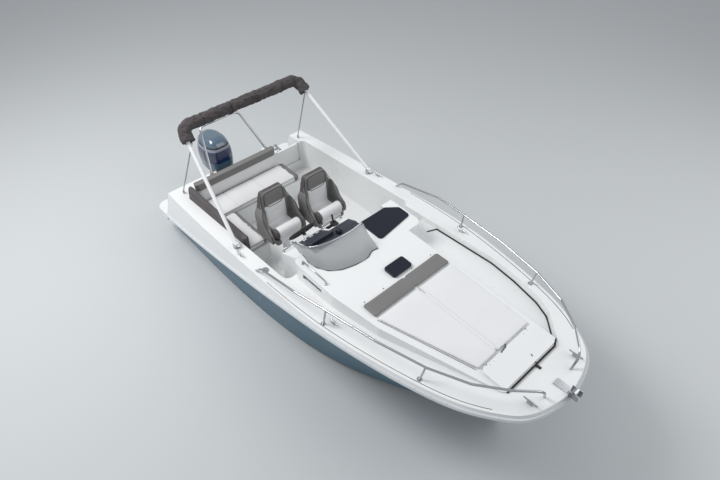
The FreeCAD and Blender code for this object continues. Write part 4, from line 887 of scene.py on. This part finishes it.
class BOAT_OT_helm_seats(bpy.types.Operator):
    """Sew the two helm seats and their flip-up bolsters"""
    bl_idname = "boat.helm_seats"
    bl_label = "Helm Seats"

    def execute(self, context):
        wing_inset, shell, foot, face_ahead, row_in = 0.006, 0.02, 0.03, 0.03, 0.016
        low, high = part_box("helm_seats")
        head = high[2] - HEAD_HEIGHT
        rolls = [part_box("bolster_" + label.lower()) for label in HELMS]
        middles = [(corner[1] + far[1]) / 2 for corner, far in rolls]
        backs = [far[0] - SEAT_DEPTH for corner, far in rolls]
        half = high[1] - middles[1] - wing_inset

        def seat_zone(centre, normal):
            nearest = min((0, 1), key=lambda i: abs(centre.y - middles[i]))
            away = abs(centre.y - middles[nearest])
            behind = centre.x < backs[nearest] - shell
            if centre.z > head:
                # Painted shade: faces behind the head that don't look forward take the darkened grey.
                return 2 if behind and normal.x < 0.3 else 1
            return 1 if away > WHITE_HALF or behind else 0

        below = (high[0], high[1], head)
        seams = [(2, head, low, high)]
        seams += [(1, middle + side * WHITE_HALF, low, below) for middle in middles for side in (-1, 1)]
        seats = cushion("HelmSeats", "helm_seats", seat_zone, swell=SEAT_SWELL, seams=seams)
        rows = []
        for label, middle, back in zip(HELMS, middles, backs):
            for hand, side in HANDS:
                y = middle + side * half
                run = [Vector((back + forward * SEAT_DEPTH, y, low[2] + foot + up * WING_HEIGHT))
                       for forward, up in WING_SHARES]
                filled = [point for point, aim in spread(run, 0.02)]
                piping("%sWingPiping%s" % (label, hand), seats, filled, material="black", closed=False)
            centre = (back + face_ahead, middle, head + HEAD_HEIGHT / 2)
            face = oval(centre, (0, WHITE_HALF, 0), (0, 0, HEAD_HEIGHT / 2 + 0.01), 0.55)
            piping(label + "HeadPiping", seats, face, material="black")
            for hand, side in HANDS:
                y = middle + side * (WHITE_HALF - row_in)
                rows.append([(back + 0.05, y, low[2] + 0.25), (back + 0.02, y, head - 0.02)])
            rows.append([(back + 0.05, middle + side * WHITE_HALF, head - 0.10) for side in (-1, 1)])
        stitched("HelmSeatStitches", seats, rows)
        for label, middle, (corner, far) in zip(HELMS, middles, rolls):
            name, body = "Bolster" + label, label.lower() + "_bolster"
            seams = [(1, middle + side * BOLSTER_SEAM, corner, far) for side in (-1, 1)]
            # Painted shade: the roll's grey ends take the darkened grey.
            roll = cushion(name, "bolster_" + label.lower(),
                           lambda centre, normal: 2 if abs(centre.y - middle) > BOLSTER_SEAM else 0,
                           body, seams, BOLSTER_SWELL)
            axis = Vector((far[0] - BOLSTER_RADIUS, middle, far[2] - BOLSTER_RADIUS))
            for hand, side in HANDS:
                ring = oval(axis + Vector((0, side * BOLSTER_SEAM, 0)), (BOLSTER_RADIUS, 0, 0),
                            (0, 0, BOLSTER_RADIUS), 1.0)
                piping("%sPiping%s" % (name, hand), roll, ring, body, lift=-BOLSTER_SUNK)
        return {"FINISHED"}


class BOAT_OT_sun_pads(bpy.types.Operator):
    """Sew the sun pads on the coachroof and their grey band"""
    bl_idname = "boat.sun_pads"
    bl_label = "Sun Pads"

    def execute(self, context):
        for node, name, slot, index in (("pad_band", "PadBand", "grey_vinyl", 1),
                                        ("sun_pads", "SunPads", "white_vinyl", 0)):
            pad = cushion(name, node, lambda centre, normal: index, swell=PAD_SWELL)
            low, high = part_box(node)
            rows = [row_along(low, high, PAD_SEAM + side, ROW_LIFT, ROW_LIFT)
                    for side in (-PAD_ROW, PAD_ROW)]
            stitched(name + "Stitches", pad, rows)
        (aft, starboard, low_z), (front, port, high_z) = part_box("sun_pads")
        taper = (PAD_FRONT_STARBOARD - starboard) / (front - aft)
        seam = [top_hit(x, PAD_SEAM)[0] + Vector((0, 0, PAD_SEAM_RISE))
                for x in steps(aft, front - 0.03, 0.06)]
        laid_tube("PadSeam", [seam], PAD_LINE)
        # Painted shade: a dark line on the roof along the pad's starboard edge, where the pad meets the roof.
        edge = [top_hit(x, starboard + taper * (x - aft) - 0.004)[0] + Vector((0, 0, 0.002))
                for x in steps(aft + 0.02, front - 0.02, 0.05)]
        laid_tube("PadEdge", [edge], PAD_LINE)
        studs = [top_hit(x, y, DECK_NODES + ("locker_lid",)) for x, places in STUD_PLACES for y in places]
        stud = turned_part("Stud", [(0.007, 0.0), (0.007, 0.002), (0.004, 0.004), (0.0025, 0.0045)])
        strewn("PadStuds", studs, stud, "seam")
        return {"FINISHED"}


class BOAT_OT_sun_top(bpy.types.Operator):
    """Roll the sun top in its canvas boot, with its straps and zip"""
    bl_idname = "boat.sun_top"
    bl_label = "Sun Top Boot"

    def execute(self, context):
        piece = copied_solid("SunTopBoot", "bimini_roll", BOOT_INSET)
        applied(piece, "REMESH", mode="VOXEL", voxel_size=sizes().voxel)
        for vert in piece.data.vertices:
            spot = vert.co
            ripple = noise.noise(Vector((spot.x * 12 + spot.y * 5, spot.y * 7, spot.z * 12 - spot.y * 4)))
            pleat = 1 - abs(noise.noise(Vector((spot.x * 20, spot.y * 13 + spot.z * 9, spot.z * 16))))
            fine = noise.noise(spot * 38)
            rise = ripple * RIPPLE_RISE + (pleat - PLEAT_LEVEL) * PLEAT_RISE + fine * FOLD_RISE
            vert.co += vert.normal * rise
        piece.data.materials.append(finishes["canvas"])
        for polygon in piece.data.polygons:
            polygon.use_smooth = True
        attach(piece, "bimini")
        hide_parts("bimini_roll")
        low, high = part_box("bimini_roll")
        reach = (high[0] - low[0]) / 2
        for number, share in enumerate((0.2, 0.4, 0.6, 0.8)):
            y = low[1] + (high[1] - low[1]) * share
            near = [vert.co for vert in piece.data.vertices if abs(vert.co.y - y) < 0.02]
            centre = sum(near, Vector()) / len(near)
            centre.y = y
            ring = oval(centre, (reach, 0, 0), (0, 0, reach), 1.0, 48)
            piping("BootStrap%d" % (number + 1), piece, ring, "bimini", "black", "boot")
        run = [Vector((low[0] - 0.02, y, high[2] - reach))
               for y in steps(low[1] + ZIP_END, high[1] - ZIP_END, 0.03)]
        piping("BootZip", piece, run, "bimini", "seam", "boot", closed=False)
        return {"FINISHED"}


class BOAT_OT_dashboard(bpy.types.Operator):
    """Fit the dials, switches, compass, grab rails and the screen's gasket"""
    bl_idname = "boat.dashboard"
    bl_label = "Dashboard"

    def execute(self, context):
        low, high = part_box("instrument_hood")
        wheel_low, wheel_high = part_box("steering_wheel")
        middle = (wheel_low[1] + wheel_high[1]) / 2
        names = ("instrument_hood", "console")
        bezel = turned_part("Bezel", [(0.92, 0.0), (1.0, 0.08), (1.0, 0.22), (0.86, 0.22), (0.82, 0.10)], 28)
        glass = turned_part("Dial", [(0.83, 0.0), (0.83, 0.11)], 28)
        needle = block_part("Needle", 0.62, 0.05, 0.14, 0.01)
        for name, away, size in DIALS:
            start = (low[0] - DIAL_START, middle + away, low[2] + DIAL_START)
            spot = [wall_hit(start, DIAL_AIM, names)]
            strewn(name + "Bezel", spot, bezel, "stainless", size=size)
            strewn(name + "Dial", spot, glass, "dial", size=size)
            strewn(name + "Needle", spot, needle, "seam", size=size)
        panel = block_part("SwitchPlate", 0.070, 0.150, 0.004, 0.0015)
        strewn("SwitchPanel", [top_hit(*SWITCH_PLACE, names)], panel, "black")
        rocker = block_part("Rocker", 0.022, 0.015, 0.009, 0.002)
        rockers = []
        for x in ROCKER_STATIONS:
            for y in steps(*ROCKER_RUN):
                place, normal = top_hit(x, y, names)
                rockers.append((place + normal * ROCKER_LIFT, normal))
        strewn("RockerSwitches", rockers, rocker, "seam")
        compass = turned_part("CompassPart", [(0.042, 0.0), (0.042, 0.012), (0.034, 0.020), (0.033, 0.030),
                                              (0.026, 0.042), (0.014, 0.049), (0.004, 0.051)], 28)
        strewn("Compass", [top_hit(*COMPASS_PLACE, names)], compass, "dark_acrylic")
        shoes = []
        for name, ends in GRAB_RAILS:
            hits = [top_hit(x, y, names + DECK_NODES) for x, y in ends]
            shoes += hits
            feet = [place for place, normal in hits]
            tops = [foot + Vector((0, 0, RAIL_RISE)) for foot in feet]
            bends = [top - Vector((0, 0, RAIL_BEND)) for top in tops]
            inner = [tops[0].lerp(tops[1], share) for share in (0.03, 0.97)]
            laid_tube(name, [[feet[0], bends[0], *inner, bends[1], feet[1]]], RAIL_RADIUS, "stainless")
        shoe = turned_part("Shoe", [(0.018, 0.0), (0.018, 0.004), (0.010, 0.010), (0.008, 0.010)])
        strewn("GrabRailFeet", shoes, shoe, "stainless")
        foot = [Vector((x * SCREEN_REACH, SCREEN_MIDDLE + y * SCREEN_HALF, 0)) for x, y in SCREEN_FOOT_SHARES]
        run = []
        for point, aim in spread(foot, 0.02):
            roof = top_hit(point.x, point.y)[0].z
            place, normal = skin_point(nodes["windscreen"], (point.x, point.y, roof + 0.004))
            run.append(Vector((place.x, place.y, roof + 0.003)))
        laid_tube("ScreenGasket", [run], GASKET_RADIUS)
        return {"FINISHED"}


class BOAT_OT_deck_trim(bpy.types.Operator):
    """Lay the seam line across the front of the raised deck with painted shade along the foot of the port
    bulwark, the painted shadow lines of the bow rails, the latches and the screws
    """
    bl_idname = "boat.deck_trim"
    bl_label = "Deck Trim"

    def execute(self, context):
        with_lid = DECK_NODES + ("locker_lid",)
        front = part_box("locker_lid")[1][0] + 0.018
        seam_and_shade_points = []
        for y in steps(-0.43, 0.34, 0.05):
            place = max((top_hit(front + ahead, y)[0] for ahead in (-0.006, 0.012)), key=lambda spot: spot.z)
            seam_and_shade_points.append(Vector((front + 0.002, y, place.z + 0.001)))
        # Along the port walkway the line lies at the foot of the bulwark: painted shade where the wall meets
        # the walkway.
        for x in steps(front - 0.06, 0.25, 0.05):
            start = top_hit(x, 0.46)
            hit = start and wall_hit((x, 0.455, start[0].z + 0.012), (0, 1, 0))
            if hit and hit[0].y < 1.1:
                seam_and_shade_points.append(Vector((x, hit[0].y - 0.006, start[0].z + 0.004)))
        line = [a.lerp(b, share) for a, b in zip(seam_and_shade_points, seam_and_shade_points[1:]) for share in (0, 0.25, 0.5, 0.75)]
        for spot in line:
            top = top_hit(spot.x, spot.y, with_lid)
            if top and 0 < top[0].z + 0.001 - spot.z < 0.09:
                spot.z = top[0].z + 0.001
        laid_tube("DeckGapLine", [line], SEAM_AND_SHADE_RADIUS)
        # Painted shadow: thin dark lines along both side decks, in from the edge, where the bow rails'
        # shadows fall.
        rail_shadows = [[top_hit(x, side * (deck_edge(x, side) - RAIL_SHADOW_INSET))[0] for x in steps(*RAIL_SHADOW_RUN)]
                   for side in (-1, 1)]
        laid_tube("ToeRailGrooves", rail_shadows, RAIL_SHADOW_RADIUS)
        block = block_part("LatchBlock", 0.052, 0.030, 0.012, 0.003)
        strewn("BowLatch", [(top_hit(front + 0.035, 0.02)[0], Vector((0, 0, 1)))], block, "black")
        straps = []
        for ends in STRAPS:
            start, end = (top_hit(front + x, y, with_lid)[0] for x, y in ends)
            straps.append([start.lerp(end, share) + Vector((0, 0, 0.004)) for share in (0, 0.5, 1)])
        laid_tube("LidStraps", straps, STRAP_RADIUS, "black")
        screw = turned_part("ScrewHead", [(1.0, 0.0), (0.95, 0.22), (0.7, 0.42), (0.35, 0.5)], 12)
        spots = [skin_point(nodes["rub_rail"], (x, side * (deck_edge(x, side) - LIP_INSET), 2.0))
                 for side in (-1, 1) for x in steps(*SCREW_RUN)]
        strewn("RubRailScrews", spots, screw, "stainless", size=sizes().screw_radius)
        low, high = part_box("roof_hatch_frame")
        spots = [top_hit(x, y, ("roof_hatch_frame",)) or top_hit(x, y)
                 for x in (low[0] + FRAME_SCREW, high[0] - FRAME_SCREW)
                 for y in steps(low[1] + 0.03, high[1] - 0.03, 0.075)]
        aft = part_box("locker_lid")[0][0] + 0.03
        spots += [top_hit(aft, y, ("locker_lid",)) for y in LID_SCREWS]
        strewn("LidScrews", [spot for spot in spots if spot], screw, "stainless", size=sizes().screw_radius)
        outlet = turned_part("Outlet", [(0.024, 0.0), (0.024, 0.003), (0.016, 0.006), (0.012, 0.006),
                                        (0.010, -0.004)])
        spots = [skin_point(nodes["hull"], (x, side * OVERSIDE, OUTLET_HEIGHT))
                 for side in (-1, 1) for x in OUTLET_STATIONS]
        strewn("HullOutlets", spots, outlet, "stainless")
        return {"FINISHED"}


class BOAT_OT_engine_trim(bpy.types.Operator):
    """Fit the cowl's seam, vents and latch, and the bolts of the bracket"""
    bl_idname = "boat.engine_trim"
    bl_label = "Engine Trim"

    def execute(self, context):
        low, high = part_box("engine_cowl")
        cowl = nodes["engine_cowl"]
        centre = Vector(((low[0] + high[0]) / 2, 0, low[2] + (high[2] - low[2]) * COWL_SEAM_SHARE))
        loop = oval(centre, ((high[0] - low[0]) / 2, 0, 0), (0, (high[1] - low[1]) / 2, 0), 0.7, 60)
        ring = [skin_point(cowl, point)[0] for point in loop]
        laid_tube("CowlSeam", [ring], COWL_SEAM, body="engine", closed=True)
        slat = block_part("Slat", 0.005, 0.070, 0.003, 0.001)
        spots = [skin_point(cowl, (low[0] - 0.05, side * 0.07, z))
                 for side in (-1, 1) for z in steps(high[2] - 0.16, high[2] - 0.08, 0.016)]
        strewn("CowlVents", spots, slat, "seam", "engine")
        latch = block_part("Latch", 0.030, 0.060, 0.012, 0.004)
        strewn("CowlLatch", [skin_point(cowl, (low[0] - 0.2, 0, low[2] + 0.09))], latch, "black", "engine")
        bolt = turned_part("Bolt", [(1.0, 0.0), (1.0, 0.5), (0.85, 0.62)], 6)
        low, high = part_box("engine_bracket")
        spots = [skin_point(nodes["engine_bracket"], (low[0] + 0.10, side * 0.4, z))
                 for side in (-1, 1) for z in (low[2] + 0.08, low[2] + 0.20, high[2] - 0.10)]
        strewn("BracketBolts", spots, bolt, "stainless", size=BOLT_RADIUS)
        return {"FINISHED"}


class BOAT_OT_stage(bpy.types.Operator):
    """Lay the pale floor at the waterline and set the lights and the camera"""
    bl_idname = "boat.stage"
    bl_label = "Stage"

    def execute(self, context):
        scene = context.scene
        bpy.ops.mesh.primitive_plane_add(size=FLOOR_SIZE)
        floor = context.object
        floor.name = "Floor"
        paint = bpy.data.materials.new("Pale Floor")
        paint.use_nodes = True
        shader = paint.node_tree.nodes["Principled BSDF"]
        shader.inputs["Base Color"].default_value = (0.55, 0.57, 0.58, 1)
        shader.inputs["Roughness"].default_value = 0.85
        floor.data.materials.append(paint)
        world = bpy.data.worlds.new("Studio")
        scene.world = world
        world.use_nodes = True
        tree = world.node_tree
        sky = tree.nodes["Background"]
        sky.inputs["Color"].default_value = (0.93, 0.96, 1.0, 1)
        sky.inputs["Strength"].default_value = 0.50
        pale = add(tree, "ShaderNodeBackground", {"Color": (0.80, 0.82, 0.84, 1), "Strength": 0.85})
        path = tree.nodes.new("ShaderNodeLightPath").outputs
        seen = maths(tree, "MAXIMUM", path["Is Camera Ray"], path["Is Glossy Ray"])
        seen = maths(tree, "MAXIMUM", seen, path["Is Transmission Ray"])
        mix = add(tree, "ShaderNodeMixShader", (), {"Fac": seen})
        link = tree.links.new
        link(sky.outputs["Background"], mix.inputs[1])
        link(pale.outputs["Background"], mix.inputs[2])
        link(mix.outputs["Shader"], tree.nodes["World Output"].inputs["Surface"])
        for name, place, power, size in LAMPS:
            lamp = bpy.data.lights.new(name, "AREA")
            lamp.energy = power
            lamp.size = size
            aimed(linked(name, lamp), place, Vector(LAMP_AIM) - Vector(place))
        camera = bpy.data.cameras.new("Camera")
        camera.lens = CAMERA_LENS
        camera.clip_end = 200.0
        level = math.cos(CAMERA_DOWN)
        aim = Vector((level * math.cos(CAMERA_YAW), level * math.sin(CAMERA_YAW), -math.sin(CAMERA_DOWN)))
        scene.camera = aimed(linked("Camera", camera), CAMERA_PLACE, aim)
        scene.view_settings.view_transform = "Standard"
        return {"FINISHED"}


class BOAT_PT_dressing(bpy.types.Panel):
    """Settings and steps of the boat's dressing"""
    bl_idname = "BOAT_PT_dressing"
    bl_label = "Speedboat"
    bl_space_type = "VIEW_3D"
    bl_region_type = "UI"
    bl_category = "Speedboat"

    def draw(self, context):
        for settings in (context.scene.boat_colours, context.scene.boat_sizes):
            for key in settings.__annotations__:
                self.layout.prop(settings, key)
        for step in STEPS:
            self.layout.operator(step.bl_idname)


STEPS = (BOAT_OT_finishes, BOAT_OT_bench, BOAT_OT_helm_seats, BOAT_OT_sun_pads, BOAT_OT_sun_top,
         BOAT_OT_dashboard, BOAT_OT_deck_trim, BOAT_OT_engine_trim, BOAT_OT_stage)
CLASSES = (BoatColours, BoatSizes) + STEPS + (BOAT_PT_dressing,)


def register():
    for cls in CLASSES:
        bpy.utils.register_class(cls)
    bpy.types.Scene.boat_colours = bpy.props.PointerProperty(type=BoatColours)
    bpy.types.Scene.boat_sizes = bpy.props.PointerProperty(type=BoatSizes)


def unregister():
    del bpy.types.Scene.boat_sizes
    del bpy.types.Scene.boat_colours
    for cls in reversed(CLASSES):
        bpy.utils.unregister_class(cls)


def main():
    register()
    bpy.ops.boat.finishes()
    bpy.ops.boat.bench()
    bpy.ops.boat.helm_seats()
    bpy.ops.boat.sun_pads()
    bpy.ops.boat.sun_top()
    bpy.ops.boat.dashboard()
    bpy.ops.boat.deck_trim()
    bpy.ops.boat.engine_trim()
    bpy.ops.boat.stage()


if __name__ == "__main__":
    main()
